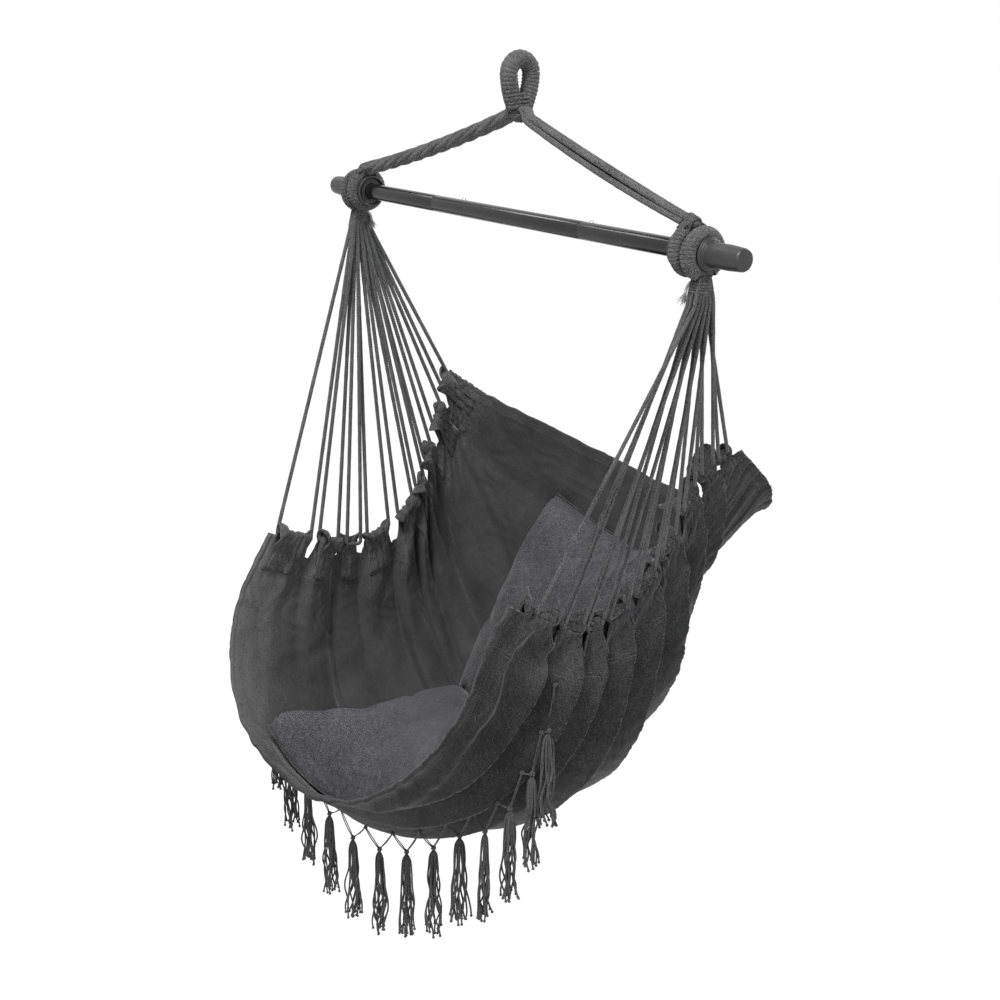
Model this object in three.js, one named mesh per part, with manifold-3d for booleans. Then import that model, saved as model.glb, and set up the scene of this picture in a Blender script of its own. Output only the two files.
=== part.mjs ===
// A hammock chair: a served rope loop, two rope strands, a three-piece spreader bar and a
// cotton sling with two cushions and a tassel fringe. Lengths are millimetres, +Z is up,
// +X runs along the bar to the sitter's left and the sitter faces -Y.
// The shapes are written about the middle of the bar, and the last group moves the origin
// to the place inside the hanging loop that rests on a hook.
import * as THREE from "three";
import { mergeVertices } from "three/addons/utils/BufferGeometryUtils.js";
import Module from "manifold-3d";

const wasm = await Module();
wasm.setup();

// Clearance kept between neighbouring pieces, and the overrun of cutting tools
const fit = 0.3;
const overrun = 2;

// Spreader bar
const tubeRadius = 12.7;
const tubeWall = 1.2;
const tubeSides = 20;
const leftSeamX = -181;
const rightSeamX = 176;
const insertLength = 90;
const leftButtonFromSeam = 65;
const rightButtonFromSeam = 11;

// Snap buttons: a pin on a leaf spring inside the bar, leaning to the back
const buttonRadius = 3.5;
const buttonRise = 4;
const buttonLean = Math.PI / 6;
const buttonSides = 10;
const leafWidth = 9;
const leafThickness = 0.8;
const leafLength = 55;
const leafTail = 10;
const leafDrop = 9;

// Rope sizes
const fanCordRadius = 2.8;
const servingRadius = 1.9;
const strandCordRadius = 3.3;
const ringCoreRadius = 5.6;
const loopCoreRadius = 8;
const cordSides = 5;

// Rings of served rope round the bar, two at each end
const ringBoreRadius = 14.6;
const innerRingX = 390.5;
const ringTurns = 16;
const turnSteps = 7;
const servingSides = 5;
const ringServed = (5 / 3) * Math.PI;

// End caps and inner collars, as lathe profiles worked out from these sizes
const collarRadius = 25;
const collarWidth = 8;
const collarRim = 2.5;
const collarRecess = 4;
const collarHubRise = 2;
const capFlangeRadius = 21.5;
const capStepRadius = 19;
const capStepWidth = 3;
const capRadius = 16.2;
const capTipRadius = 13.6;
const capLength = 63;
const capEndWall = 4;
const capTaperStart = 38;
const capEdge = 2.5;

// Hanging loop
const hookOffsetX = 28;
const hookZ = 209;
const loopEyeHalfWidth = 6.4;
const loopNeckZ = 158;
const loopNeckHalfGap = 8.5;
const neckJointZ = 150;
const neckBallRadius = 11;
const neckCupThickness = 4.2;
const neckCupReach = (4 / 9) * Math.PI;
const neckBallReach = (2 / 3) * Math.PI;
const neckShoulder = 8;
const loopTurns = 11;
const loopServedFromZ = 172;
const loopLegShare = 0.3;
const loopArcSteps = 12;
const loopSearchShare = 0.005;

// Suspension strands
const strandTurns = 3;
const strandTwistSteps = 21;
const strandLayGap = 0.55;
const strandCords = 5;
const strandSag = 6;
const straightSteps = 6;
const lashingRadius = 12;
const lashingLength = 20;
const lashingRise = 7.5;

// Necks of the outer rings, from which the fan cords start
const fanNeckLength = 33;
const fanNeckHalfDepth = 20;
const fanNeckHalfWidth = 10;
const fanTopRows = 3;
const fanTopPitch = 6.4;
const fanRowPitch = 6.8;
const fanBendRadius = 6;
const fanBendSteps = 4;
const cordSeat = 0.5;
const hemShare = 0.02;
const sampleStepShare = 0.01;

// Sling of woven cotton: half its width, its reach from front to back and its drop
const slingHalfWidth = 350;
const slingReach = 400;
const slingDrop = 960;
const slingThickness = 3;
const foldDepth = 13;
const foldReachShare = 0.2;
const scallopDrop = 15;
const scallopReachShare = 0.035;

// Rows from front to back: places and bending handles of the two side edges and of the
// middle line, as shares of the half width, the reach and the drop
const leftEdgeShares = [
  [-1, -0.555, -0.573], [-1.005, -0.325, -0.609], [-1.005, -0.125, -0.633], [-1, 0.05, -0.604],
  [-1, 0.188, -0.552], [-1, 0.263, -0.458], [-1, 0.355, -0.33],
];
const rightEdgeShares = [
  [0.909, -0.513, -0.492], [0.92, -0.325, -0.536], [0.92, -0.188, -0.547], [0.92, -0.025, -0.521],
  [0.92, 0.125, -0.458], [0.92, 0.263, -0.365], [0.914, 0.445, -0.321],
];
const middleShares = [
  [-0.171, -0.805, -0.904], [-0.143, -0.563, -0.995], [-0.114, -0.263, -1.0125], [-0.071, 0.04, -0.985],
  [-0.043, 0.31, -0.912], [-0.029, 0.488, -0.783], [-0.014, 0.6, -0.625], [0, 0.64, -0.446],
];
const leftHandleShares = [
  [-0.07, -0.34, -0.177], [-0.075, -0.175, -0.208], [-0.086, -0.05, -0.229], [-0.086, 0.05, -0.24],
  [-0.086, 0.15, -0.229], [-0.057, 0.225, -0.198], [0.029, 0.088, -0.052],
];
const rightHandleShares = [
  [0.1, -0.338, -0.145], [0.15, -0.15, -0.214], [0.13, -0.04, -0.245], [0.12, 0.03, -0.262],
  [0.11, 0.12, -0.25], [0.055, 0.175, -0.182], [0.1, 0.44, -0.156],
];
const middleLeftShares = [
  [-0.6, -0.05, -0.031], [-0.571, 0, -0.01], [-0.571, 0, 0], [-0.571, 0, 0],
  [-0.571, 0, 0], [-0.543, 0, 0], [-0.486, -0.025, 0.021],
];
const middleRightShares = [
  [0.62, 0.06, 0.042], [0.58, 0.025, 0.025], [0.56, 0.01, 0.01], [0.56, 0.02, 0],
  [0.53, 0.02, -0.005], [0.5, 0, 0], [0.486, 0, -0.031],
];

// Nine cords at each side edge, each going down, along inside the hem and up again: the
// stretches of the edge that they hold, as shares of its length from the front
const leftSpanShares = [
  [0.015, 0.13], [0.16, 0.235], [0.275, 0.335], [0.37, 0.475], [0.53, 0.62], [0.655, 0.72],
  [0.755, 0.82], [0.86, 0.92], [0.95, 0.99],
];
const rightSpanShares = [
  [0.045, 0.12], [0.15, 0.23], [0.27, 0.355], [0.39, 0.475], [0.52, 0.605], [0.645, 0.72],
  [0.76, 0.82], [0.85, 0.9], [0.925, 0.965],
];
const crossShares = [0, 0.02, 0.05, 0.09, 0.14, 0.2, 0.28, 0.37, 0.46, 0.54, 0.63, 0.72, 0.8, 0.86, 0.91, 0.95, 0.98, 1];

// Cushions
const seatThickness = 205;
const backThickness = 125;
const cushionSeam = 12;
const cushionCells = 10;
const cushionPullShare = 0.05;
const cushionCrownShare = 0.33;
const cushionGap = 0.9;
// Middles of the cushions across and along the sling, their half sizes, and the lean of
// their tops to the sitter's left
const seatSpotShares = { across: 0.54, along: 0.27, halfAcross: 0.2, halfAlong: 0.22, lean: 0 };
const backSpotShares = { across: 0.545, along: 0.715, halfAcross: 0.205, halfAlong: 0.21, lean: 0.02 };

// Fringe
const fringeTassels = 14;
const fringeFromShares = { across: 0.14, along: 0.09 };
const fringeToShares = { across: 0.94, along: 0.16 };
const fringeCordRadius = 1.2;
const fringeCordSides = 4;
const fringeDrop = 32;
const knotRadius = 4;
const tasselLength = 150;
const tasselRadius = 9;
const tasselWaistShare = 0.8;
const tasselSides = 5;

const colours = { rope: 0x4c4c4e, cloth: 0x38383b, cushion: 0x46454b, steel: 0x1b1b1d, plastic: 0x222224, bright: 0x9a9a9a };

function material(colour, roughness, metalness) {
  return new THREE.MeshStandardMaterial({ color: colour, roughness, metalness });
}

const materials = {
  rope: material(colours.rope, 0.95, 0),
  cloth: material(colours.cloth, 0.92, 0),
  cushion: material(colours.cushion, 0.94, 0),
  steel: material(colours.steel, 0.3, 0.6),
  plastic: material(colours.plastic, 0.55, 0),
  bright: material(colours.bright, 0.3, 1),
};

// A curve that runs straight from each of its points to the next, one step for each
class Route extends THREE.Curve {
  constructor(points) {
    super();
    this.points = points;
  }

  getPoint(t, target = new THREE.Vector3()) {
    const steps = this.points.length - 1;
    const place = Math.min(Math.max(t, 0), 1) * steps;
    const index = Math.min(Math.floor(place), steps - 1);
    return target.lerpVectors(this.points[index], this.points[index + 1], place - index);
  }

  getPointAt(u, target) {
    return this.getPoint(u, target);
  }

  getTangentAt(u, target = new THREE.Vector3()) {
    const steps = this.points.length - 1;
    const place = Math.round(u * steps);
    const before = this.points[Math.max(place - 1, 0)];
    const after = this.points[Math.min(place + 1, steps)];
    return target.subVectors(after, before).normalize();
  }
}

// Shared vertices joined, and the faces turned outwards
function closed(geometry) {
  geometry.deleteAttribute("normal");
  geometry.deleteAttribute("uv");
  const body = mergeVertices(geometry, fit / 1000);
  const places = body.attributes.position;
  const faces = body.index.array;
  const [a, b, c] = [new THREE.Vector3(), new THREE.Vector3(), new THREE.Vector3()];
  let volume = 0;
  for (let i = 0; i < faces.length; i += 3) {
    a.fromBufferAttribute(places, faces[i]);
    b.fromBufferAttribute(places, faces[i + 1]);
    c.fromBufferAttribute(places, faces[i + 2]);
    volume += a.dot(b.cross(c));
  }
  if (volume < 0) {
    for (let i = 0; i < faces.length; i += 3) {
      [faces[i], faces[i + 1]] = [faces[i + 1], faces[i]];
    }
  }
  return body;
}

function solid(geometry) {
  const body = closed(geometry);
  const mesh = new wasm.Mesh({
    numProp: 3,
    vertProperties: new Float32Array(body.attributes.position.array),
    triVerts: new Uint32Array(body.index.array),
  });
  return new wasm.Manifold(mesh);
}

function fromSolid(body) {
  const mesh = body.getMesh();
  const geometry = new THREE.BufferGeometry();
  geometry.setAttribute("position", new THREE.BufferAttribute(new Float32Array(mesh.vertProperties), 3));
  geometry.setIndex(new THREE.BufferAttribute(new Uint32Array(mesh.triVerts), 1));
  return geometry;
}

function tube(points, radius, sides) {
  const corners = [];
  for (let i = 0; i < sides; i += 1) {
    const angle = (2 * Math.PI * i) / sides;
    corners.push(new THREE.Vector2(radius * Math.cos(angle), radius * Math.sin(angle)));
  }
  const options = { steps: points.length - 1, extrudePath: new Route(points), bevelEnabled: false };
  return new THREE.ExtrudeGeometry(new THREE.Shape(corners), options);
}

// A profile of [radius, place] pairs turned about the X axis, towards +X
function latheAlongX(profile, sides) {
  const points = profile.map(([radius, along]) => new THREE.Vector2(radius, along));
  return new THREE.LatheGeometry(points, sides).rotateZ(-Math.PI / 2);
}

function latheAlongZ(profile, sides) {
  const points = profile.map(([radius, along]) => new THREE.Vector2(radius, along));
  return new THREE.LatheGeometry(points, sides).rotateX(Math.PI / 2);
}

// A smooth line through rows of shares, read at t from 0 to 1
function through(rows, t) {
  const steps = rows.length - 1;
  const place = Math.min(Math.max(t, 0), 1) * steps;
  const index = Math.min(Math.floor(place), steps - 1);
  const k = place - index;
  const at = (i, axis) => {
    if (i < 0) return 2 * rows[0][axis] - rows[1][axis];
    if (i > steps) return 2 * rows[steps][axis] - rows[steps - 1][axis];
    return rows[i][axis];
  };
  const value = (axis) => {
    const [p, q, r, s] = [at(index - 1, axis), at(index, axis), at(index + 1, axis), at(index + 2, axis)];
    return 0.5 * (2 * q + (r - p) * k + (2 * p - 5 * q + 4 * r - s) * k ** 2 + (3 * q - p - 3 * r + s) * k ** 3);
  };
  return new THREE.Vector3(value(0) * slingHalfWidth, value(1) * slingReach, value(2) * slingDrop);
}

// The smooth sling at across from 0, its left edge, to 1, and along from 0, its front, to 1
function slingPlace(across, along) {
  const middle = through(middleShares, along);
  const left = across < 0.5;
  const edge = through(left ? leftEdgeShares : rightEdgeShares, along);
  const edgeHandle = through(left ? leftHandleShares : rightHandleShares, along).add(edge);
  const middleHandle = through(left ? middleLeftShares : middleRightShares, along).add(middle);
  const t = left ? 2 * across : 2 - 2 * across;
  return edge
    .multiplyScalar((1 - t) ** 3)
    .addScaledVector(edgeHandle, 3 * t * (1 - t) ** 2)
    .addScaledVector(middleHandle, 3 * t ** 2 * (1 - t))
    .addScaledVector(middle, t ** 3);
}

// How far a place along an edge lies into a loose gap between two cords, 0 to 1
function looseness(along, spanShares) {
  for (let i = 0; i + 1 < spanShares.length; i += 1) {
    const [from, to] = [spanShares[i][1], spanShares[i + 1][0]];
    if (along > from && along < to) return Math.sin((Math.PI * (along - from)) / (to - from)) ** 2;
  }
  return 0;
}

// Rows of the grid at one edge: its corners, the ends and middles of the spans, and the
// middles of the gaps
function rowShares(spanShares) {
  const shares = [0];
  spanShares.forEach(([start, end], i) => {
    if (i > 0) shares.push((shares[shares.length - 1] + start) / 2);
    shares.push(start, end);
  });
  shares.push(1);
  return shares;
}

const leftRowShares = rowShares(leftSpanShares);
const rightRowShares = rowShares(rightSpanShares);

function rowsAt(across) {
  return leftRowShares.map((along, i) => THREE.MathUtils.lerp(along, rightRowShares[i], across));
}

// The sling's middle surface on a grid, with its folds and scalloped side edges, and the
// unit normals that point to the seat's inside
function slingGrid() {
  const rows = crossShares.map((across) => rowsAt(across).map((along, j) => {
    const step = sampleStepShare;
    const place = slingPlace(across, along);
    const sideways = slingPlace(Math.min(across + step, 1), along).sub(slingPlace(Math.max(across - step, 0), along));
    const onwards = slingPlace(across, Math.min(along + step, 1)).sub(slingPlace(across, Math.max(along - step, 0)));
    const inward = sideways.cross(onwards).normalize();
    const fromEdge = Math.min(across, 1 - across);
    const left = across < 0.5;
    const loose = looseness(left ? leftRowShares[j] : rightRowShares[j], left ? leftSpanShares : rightSpanShares);
    place.addScaledVector(inward, -foldDepth * loose * Math.exp(-fromEdge / foldReachShare));
    place.z -= scallopDrop * loose * Math.exp(-fromEdge / scallopReachShare);
    return place;
  }));
  const last = rows.length - 1;
  const end = rows[0].length - 1;
  const normals = rows.map((row, i) => row.map((place, j) => {
    const sideways = rows[Math.min(i + 1, last)][j].clone().sub(rows[Math.max(i - 1, 0)][j]);
    const onwards = rows[i][Math.min(j + 1, end)].clone().sub(rows[i][Math.max(j - 1, 0)]);
    return sideways.cross(onwards).normalize();
  }));
  return { rows, normals };
}

const sling = slingGrid();

// A closed body from two layers of equal grids that share no places but may meet at the rim
function twoLayers(upper, lower, sharedRim) {
  const wide = upper.length;
  const long = upper[0].length;
  const places = [];
  const add = (point) => places.push(point.x, point.y, point.z);
  upper.flat().forEach(add);
  lower.flat().forEach(add);
  const top = (i, j) => i * long + j;
  const bottom = (i, j) => wide * long + i * long + j;
  const faces = [];
  const quad = (a, b, c, d) => faces.push(a, b, c, a, c, d);
  for (let i = 0; i + 1 < wide; i += 1) {
    for (let j = 0; j + 1 < long; j += 1) {
      quad(top(i, j), top(i + 1, j), top(i + 1, j + 1), top(i, j + 1));
      quad(bottom(i, j), bottom(i, j + 1), bottom(i + 1, j + 1), bottom(i + 1, j));
    }
  }
  if (!sharedRim) {
    for (let i = 0; i + 1 < wide; i += 1) {
      quad(top(i, 0), bottom(i, 0), bottom(i + 1, 0), top(i + 1, 0));
      quad(top(i, long - 1), top(i + 1, long - 1), bottom(i + 1, long - 1), bottom(i, long - 1));
    }
    for (let j = 0; j + 1 < long; j += 1) {
      quad(top(0, j), top(0, j + 1), bottom(0, j + 1), bottom(0, j));
      quad(top(wide - 1, j), bottom(wide - 1, j), bottom(wide - 1, j + 1), top(wide - 1, j + 1));
    }
  }
  const geometry = new THREE.BufferGeometry();
  geometry.setAttribute("position", new THREE.Float32BufferAttribute(places, 3));
  geometry.setIndex(faces);
  return geometry;
}

function slingLayer(offset) {
  return sling.rows.map((row, i) => row.map((place, j) => place.clone().addScaledVector(sling.normals[i][j], offset)));
}

function makeSling() {
  return closed(twoLayers(slingLayer(slingThickness / 2), slingLayer(-slingThickness / 2), false));
}

// The inner face of the faceted sling, and its normal, between its grid's places
function insideSling(across, along) {
  const cell = (values, value) => {
    const index = Math.min(Math.max(values.findIndex((v) => v > value) - 1, 0), values.length - 2);
    return [index, (value - values[index]) / (values[index + 1] - values[index])];
  };
  const [i, s] = cell(crossShares, across);
  const [j, t] = cell(rowsAt(across), along);
  const blend = (grid) => {
    const near = grid[i][j].clone().lerp(grid[i + 1][j], s);
    return near.lerp(grid[i][j + 1].clone().lerp(grid[i + 1][j + 1], s), t);
  };
  const normal = blend(sling.normals).normalize();
  return { place: blend(sling.rows).addScaledVector(normal, slingThickness / 2), normal };
}

// A crowned pillow that lies on the sling, its sides drawn in between its corners
function cushionBody(spot, thickness, grow) {
  const layers = [[], []];
  for (let i = 0; i <= cushionCells; i += 1) {
    layers.forEach((layer) => layer.push([]));
    for (let j = 0; j <= cushionCells; j += 1) {
      const a = (2 * i) / cushionCells - 1;
      const b = (2 * j) / cushionCells - 1;
      const wide = Math.sin((a * Math.PI) / 2) * (1 - cushionPullShare * (1 - b ** 2));
      const long = Math.sin((b * Math.PI) / 2) * (1 - cushionPullShare * (1 - a ** 2));
      const crown = Math.max((1 - wide ** 2) * (1 - long ** 2) * (Math.abs(a) < 1 && Math.abs(b) < 1 ? 1 : 0), 0);
      const full = crown ** cushionCrownShare;
      const across = spot.across + spot.halfAcross * wide + spot.lean * long;
      const along = spot.along + spot.halfAlong * long;
      const { place, normal } = insideSling(across, along);
      const low = cushionGap + cushionSeam * (1 - full);
      layers[0][i].push(place.clone().addScaledVector(normal, low + (thickness + grow) * full));
      layers[1][i].push(place.clone().addScaledVector(normal, low));
    }
  }
  return twoLayers(layers[0], layers[1], true);
}

function makeSeatCushion() {
  return closed(cushionBody(seatSpotShares, seatThickness, 0));
}

// The back cushion stands on the seat cushion, which presses its foot into it
function makeBackCushion() {
  const whole = solid(cushionBody(backSpotShares, backThickness, 0));
  const pressed = solid(cushionBody(seatSpotShares, seatThickness, cushionGap));
  return fromSolid(whole.subtract(pressed));
}

// Bar pieces
const tubeBore = tubeRadius - tubeWall;
const insertRadius = tubeBore - fit;
const insertBore = insertRadius - tubeWall;
const outerRingX = innerRingX + 2 * servedRadius(ringCoreRadius) + 2 * fit;
const capStartX = outerRingX + servedRadius(ringCoreRadius) + fit;
const tubeEndX = capStartX + capLength - capEndWall - fit;

// The reach of a rope core with its serving, whose turns are polygons of turnSteps sides
function servedRadius(coreRadius) {
  return windingRadius(coreRadius) + servingRadius;
}

function windingRadius(coreRadius) {
  return (coreRadius + fit + servingRadius) / Math.cos(Math.PI / turnSteps);
}

function plainTube(from, to) {
  return [[tubeBore, from], [tubeRadius, from], [tubeRadius, to], [tubeBore, to], [tubeBore, from]];
}

function tubeWithInsert(from, seam) {
  return [
    [tubeBore, from], [tubeRadius, from], [tubeRadius, seam], [insertRadius, seam],
    [insertRadius, seam + insertLength], [insertBore, seam + insertLength], [insertBore, seam - tubeWall],
    [tubeBore, seam - tubeWall], [tubeBore, from],
  ];
}

// A radial hole for a snap button, on the leaning side of the bar
function buttonHole(x) {
  const depth = tubeRadius + overrun;
  const drill = new THREE.CylinderGeometry(buttonRadius + fit, buttonRadius + fit, depth, buttonSides);
  drill.translate(0, depth / 2, 0).rotateX(Math.PI / 2 - buttonLean).translate(x, 0, 0);
  return solid(drill);
}

function makeTube(profile, holes) {
  let body = solid(latheAlongX(profile, tubeSides));
  holes.forEach((x) => {
    body = body.subtract(buttonHole(x));
  });
  return fromSolid(body);
}

const leftButtonX = leftSeamX + leftButtonFromSeam;
const rightButtonX = rightSeamX + rightButtonFromSeam;

// A button with its domed head, joined to the leaf that springs it, about the bar's axis
function makeButton(x) {
  const root = insertBore - buttonRadius / 2;
  const top = tubeRadius + buttonRise;
  const profile = [[0, root - leafThickness], [buttonRadius, root - leafThickness], [buttonRadius, top - buttonRadius / 2],
    [buttonRadius / 2, top], [0, top]];
  const pin = solid(latheAlongZ(profile, buttonSides));
  const leaf = new THREE.BoxGeometry(leafLength, leafWidth, leafThickness);
  leaf.translate(leafTail - leafLength / 2, 0, root - leafThickness / 2);
  const bend = new THREE.BoxGeometry(leafThickness, leafWidth, leafDrop);
  bend.translate(leafTail - leafLength + leafThickness / 2, 0, root - leafDrop / 2);
  const body = pin.add(solid(leaf)).add(solid(bend));
  return fromSolid(body).rotateX(-buttonLean).translate(x, 0, 0);
}

// Profiles about the bar, from the face that meets the rings
function collarProfile() {
  const bore = tubeRadius + fit;
  const hub = bore + collarRim;
  const rim = collarRadius - collarRim;
  return [
    [bore, 0], [collarRadius, 0], [collarRadius, collarWidth], [rim, collarWidth],
    [rim - collarRim, collarRecess], [hub, collarRecess], [hub, collarRecess + collarHubRise],
    [bore, collarRecess + collarHubRise], [bore, 0],
  ];
}

function capProfile() {
  const bore = tubeRadius + fit;
  return [
    [0, capLength - capEndWall], [bore, capLength - capEndWall], [bore, 0], [capFlangeRadius, 0],
    [capFlangeRadius, capStepWidth], [capStepRadius, capStepWidth], [capStepRadius, 2 * capStepWidth],
    [capRadius, 2 * capStepWidth], [capRadius, capTaperStart], [capTipRadius + capEdge / 2, capLength - capEdge],
    [capTipRadius, capLength], [0, capLength],
  ];
}

// Turned pieces at both ends: side is -1 at the left end and 1 at the right
function aboutBar(profile, from, side, outwards) {
  const turned = latheAlongX(profile, tubeSides);
  if (side * outwards < 0) turned.rotateY(Math.PI);
  return turned.translate(side * from, 0, 0);
}

// Served rope: a winding of one cord round a core whose line is given by a function that
// returns its place and two directions square to it, for shares of the line from 0 to 1
function windingPoints(line, radius, turns) {
  const points = [];
  const steps = turns * turnSteps;
  for (let i = 0; i <= steps; i += 1) {
    const { place, out, side } = line(i / steps);
    const angle = (2 * Math.PI * i) / turnSteps;
    place.addScaledVector(out, radius * Math.cos(angle)).addScaledVector(side, radius * Math.sin(angle));
    points.push(place);
  }
  return points;
}

// The least gap of a winding to itself, between places more than half a turn apart
function reportSelfGap(name, points) {
  let least = Infinity;
  for (let i = 0; i < points.length; i += 1) {
    for (let j = i + Math.ceil(turnSteps / 2) + 1; j + 1 < points.length; j += 1) {
      const line = new THREE.Line3(points[j], points[j + 1]);
      const nearest = line.closestPointToPoint(points[i], true, new THREE.Vector3());
      least = Math.min(least, nearest.distanceTo(points[i]) - 2 * servingRadius);
    }
  }
  console.log(`${name}: least gap to itself ${least.toFixed(2)} mm`);
}

function winding(name, line, coreRadius, turns) {
  const points = windingPoints(line, windingRadius(coreRadius), turns);
  reportSelfGap(name, points);
  return tube(points, servingRadius, servingSides);
}

// Rings: the inner ring is drawn up against the bar's underside, the outer hangs on its top
const ringRadius = ringBoreRadius + servedRadius(ringCoreRadius);
const ringSlack = ringBoreRadius - tubeRadius - fit;

function makeRing(x, z) {
  const ring = new THREE.TorusGeometry(ringRadius, ringCoreRadius, 6, 20);
  return ring.rotateY(Math.PI / 2).translate(x, 0, z);
}

function ringLine(x, z, fromTop) {
  return (share) => {
    const angle = (fromTop ? 0 : Math.PI) + (2 * Math.PI - ringServed) / 2 + share * ringServed;
    const out = new THREE.Vector3(0, Math.sin(angle), Math.cos(angle));
    const place = out.clone().multiplyScalar(ringRadius).add(new THREE.Vector3(x, 0, z));
    return { place, out, side: new THREE.Vector3(1, 0, 0) };
  };
}

// The outer ring's core runs down into the neck that the fan cords leave
function makeOuterRing(x) {
  const ring = solid(makeRing(x, -ringSlack));
  const top = -ringSlack - ringRadius;
  const profile = [[0, top + ringCoreRadius / 2], [fanNeckHalfDepth / 2, top], [fanNeckHalfDepth, fanTopZ + fanNeckHalfWidth],
    [fanNeckHalfDepth, fanTopZ], [0, fanTopZ]];
  const neck = latheAlongZ(profile.reverse(), 12);
  neck.scale(fanNeckHalfWidth / fanNeckHalfDepth, 1, 1).translate(x, 0, 0);
  return fromSolid(ring.add(solid(neck)));
}

const fanTopZ = -ringSlack - ringRadius - fanNeckLength;

// Hanging loop: two mirrored legs and the arch above them, in the YZ plane
const loopSection = servedRadius(loopCoreRadius);
const archRadius = loopEyeHalfWidth + loopSection;
const archZ = hookZ + loopSection - archRadius;

function loopPlace(share) {
  const side = share < 0.5 ? -1 : 1;
  const fromEnd = share < 0.5 ? share : 1 - share;
  if (fromEnd < loopLegShare) {
    const t = fromEnd / loopLegShare;
    const ease = Math.sin((t * Math.PI) / 2);
    const y = THREE.MathUtils.lerp(loopNeckHalfGap, archRadius, ease);
    return new THREE.Vector3(hookOffsetX, side * y, THREE.MathUtils.lerp(loopNeckZ, archZ, t));
  }
  const angle = ((fromEnd - loopLegShare) / (0.5 - loopLegShare)) * (Math.PI / 2);
  return new THREE.Vector3(hookOffsetX, side * archRadius * Math.cos(angle), archZ + archRadius * Math.sin(angle));
}

function makeLoopCore() {
  const half = (from, to) => {
    const points = [];
    for (let i = 0; i <= loopArcSteps; i += 1) {
      points.push(loopPlace(THREE.MathUtils.lerp(from, to, i / loopArcSteps)));
    }
    return solid(tube(points, loopCoreRadius, 8));
  };
  const overlapShare = 0.02;
  const ball = neckBallRadius;
  const profile = [[0, neckJointZ - ball]];
  const arcSteps = 7;
  for (let i = 1; i <= arcSteps; i += 1) {
    const angle = neckBallReach * (i / arcSteps);
    profile.push([ball * Math.sin(angle), neckJointZ - ball * Math.cos(angle)]);
  }
  profile.push([ball / 2, loopNeckZ + neckShoulder], [0, loopNeckZ + neckShoulder]);
  const neck = latheAlongZ(profile, 16).translate(hookOffsetX, 0, 0);
  const legs = half(0, 0.5 + overlapShare).add(half(0.5, 1));
  return fromSolid(legs.add(solid(neck)));
}

// Where the serving starts on each leg
function servedShare() {
  let share = 0;
  while (loopPlace(share).z < loopServedFromZ) share += loopSearchShare;
  return share;
}

function loopLine(share) {
  const from = servedShare();
  const at = from + share * (1 - 2 * from);
  const step = sampleStepShare;
  const along = loopPlace(at + step).sub(loopPlace(at - step)).normalize();
  const side = new THREE.Vector3(1, 0, 0);
  return { place: loopPlace(at), out: new THREE.Vector3().crossVectors(along, side), side };
}

// The cup of whipping cord in which the loop's neck turns
function makeNeckCup() {
  const steps = 6;
  const arc = (radius, backwards) => {
    const points = [];
    for (let i = 0; i <= steps; i += 1) {
      const angle = neckCupReach * ((backwards ? steps - i : i) / steps);
      points.push([radius * Math.sin(angle), neckJointZ - radius * Math.cos(angle)]);
    }
    return points;
  };
  const profile = [...arc(neckBallRadius + fit + neckCupThickness, false), ...arc(neckBallRadius + 1.5 * fit, true)];
  profile[0][0] = 0;
  profile[profile.length - 1][0] = 0;
  return latheAlongZ(profile, 16).translate(hookOffsetX, 0, 0);
}

// Suspension strands, from the neck's cup to the lashing on each inner ring
const strandStart = neckBallRadius + neckCupThickness + 2 * fit;
const lashingZ = ringSlack + ringRadius + lashingRise;

function strandFrame(side) {
  const from = new THREE.Vector3(hookOffsetX, 0, neckJointZ);
  const to = new THREE.Vector3(side * innerRingX, 0, lashingZ);
  const along = to.clone().sub(from).normalize();
  const across = new THREE.Vector3(0, 1, 0);
  const up = new THREE.Vector3().crossVectors(along, across).normalize();
  if (up.z < 0) up.negate();
  const length = to.distanceTo(from);
  return { from, to, along, across, up, length };
}

function strandPoint(frame, share, out, lift) {
  const end = frame.length - lashingLength / 2 - 2 * fit;
  const place = frame.from.clone().addScaledVector(frame.along, THREE.MathUtils.lerp(strandStart, end, share));
  place.addScaledVector(frame.across, out).addScaledVector(frame.up, lift);
  place.z -= strandSag * 4 * share * (1 - share);
  return place;
}

// One twisted cord of the left strand
function makeTwistedCord(index) {
  const frame = strandFrame(-1);
  const stepsPerTurn = strandTwistSteps / strandTurns;
  const radius = (strandCordRadius + strandLayGap) / Math.sin(Math.PI / strandCords) / Math.cos(Math.PI / stepsPerTurn);
  const points = [];
  for (let i = 0; i <= strandTwistSteps; i += 1) {
    const share = i / strandTwistSteps;
    const twisted = Math.min(Math.max(i, 1), strandTwistSteps - 1) / strandTwistSteps;
    const angle = 2 * Math.PI * (strandTurns * twisted + index / strandCords);
    points.push(strandPoint(frame, share, radius * Math.cos(angle), radius * Math.sin(angle)));
  }
  return tube(points, strandCordRadius, cordSides);
}

// One cord of the right strand: three lie side by side, with two on top
function makeStraightCord(index) {
  const frame = strandFrame(1);
  const pitch = 2 * strandCordRadius + fit;
  const lowerCords = Math.ceil(strandCords / 2);
  const upper = index >= lowerCords;
  const rowMiddle = upper ? (lowerCords + strandCords - 1) / 2 : (lowerCords - 1) / 2;
  const out = (index - rowMiddle) * pitch;
  const lift = (upper ? 0.5 : -0.5) * pitch * Math.sin(Math.PI / 3);
  const points = [];
  for (let i = 0; i <= straightSteps; i += 1) {
    points.push(strandPoint(frame, i / straightSteps, out, lift));
  }
  return tube(points, strandCordRadius, cordSides);
}

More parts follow.
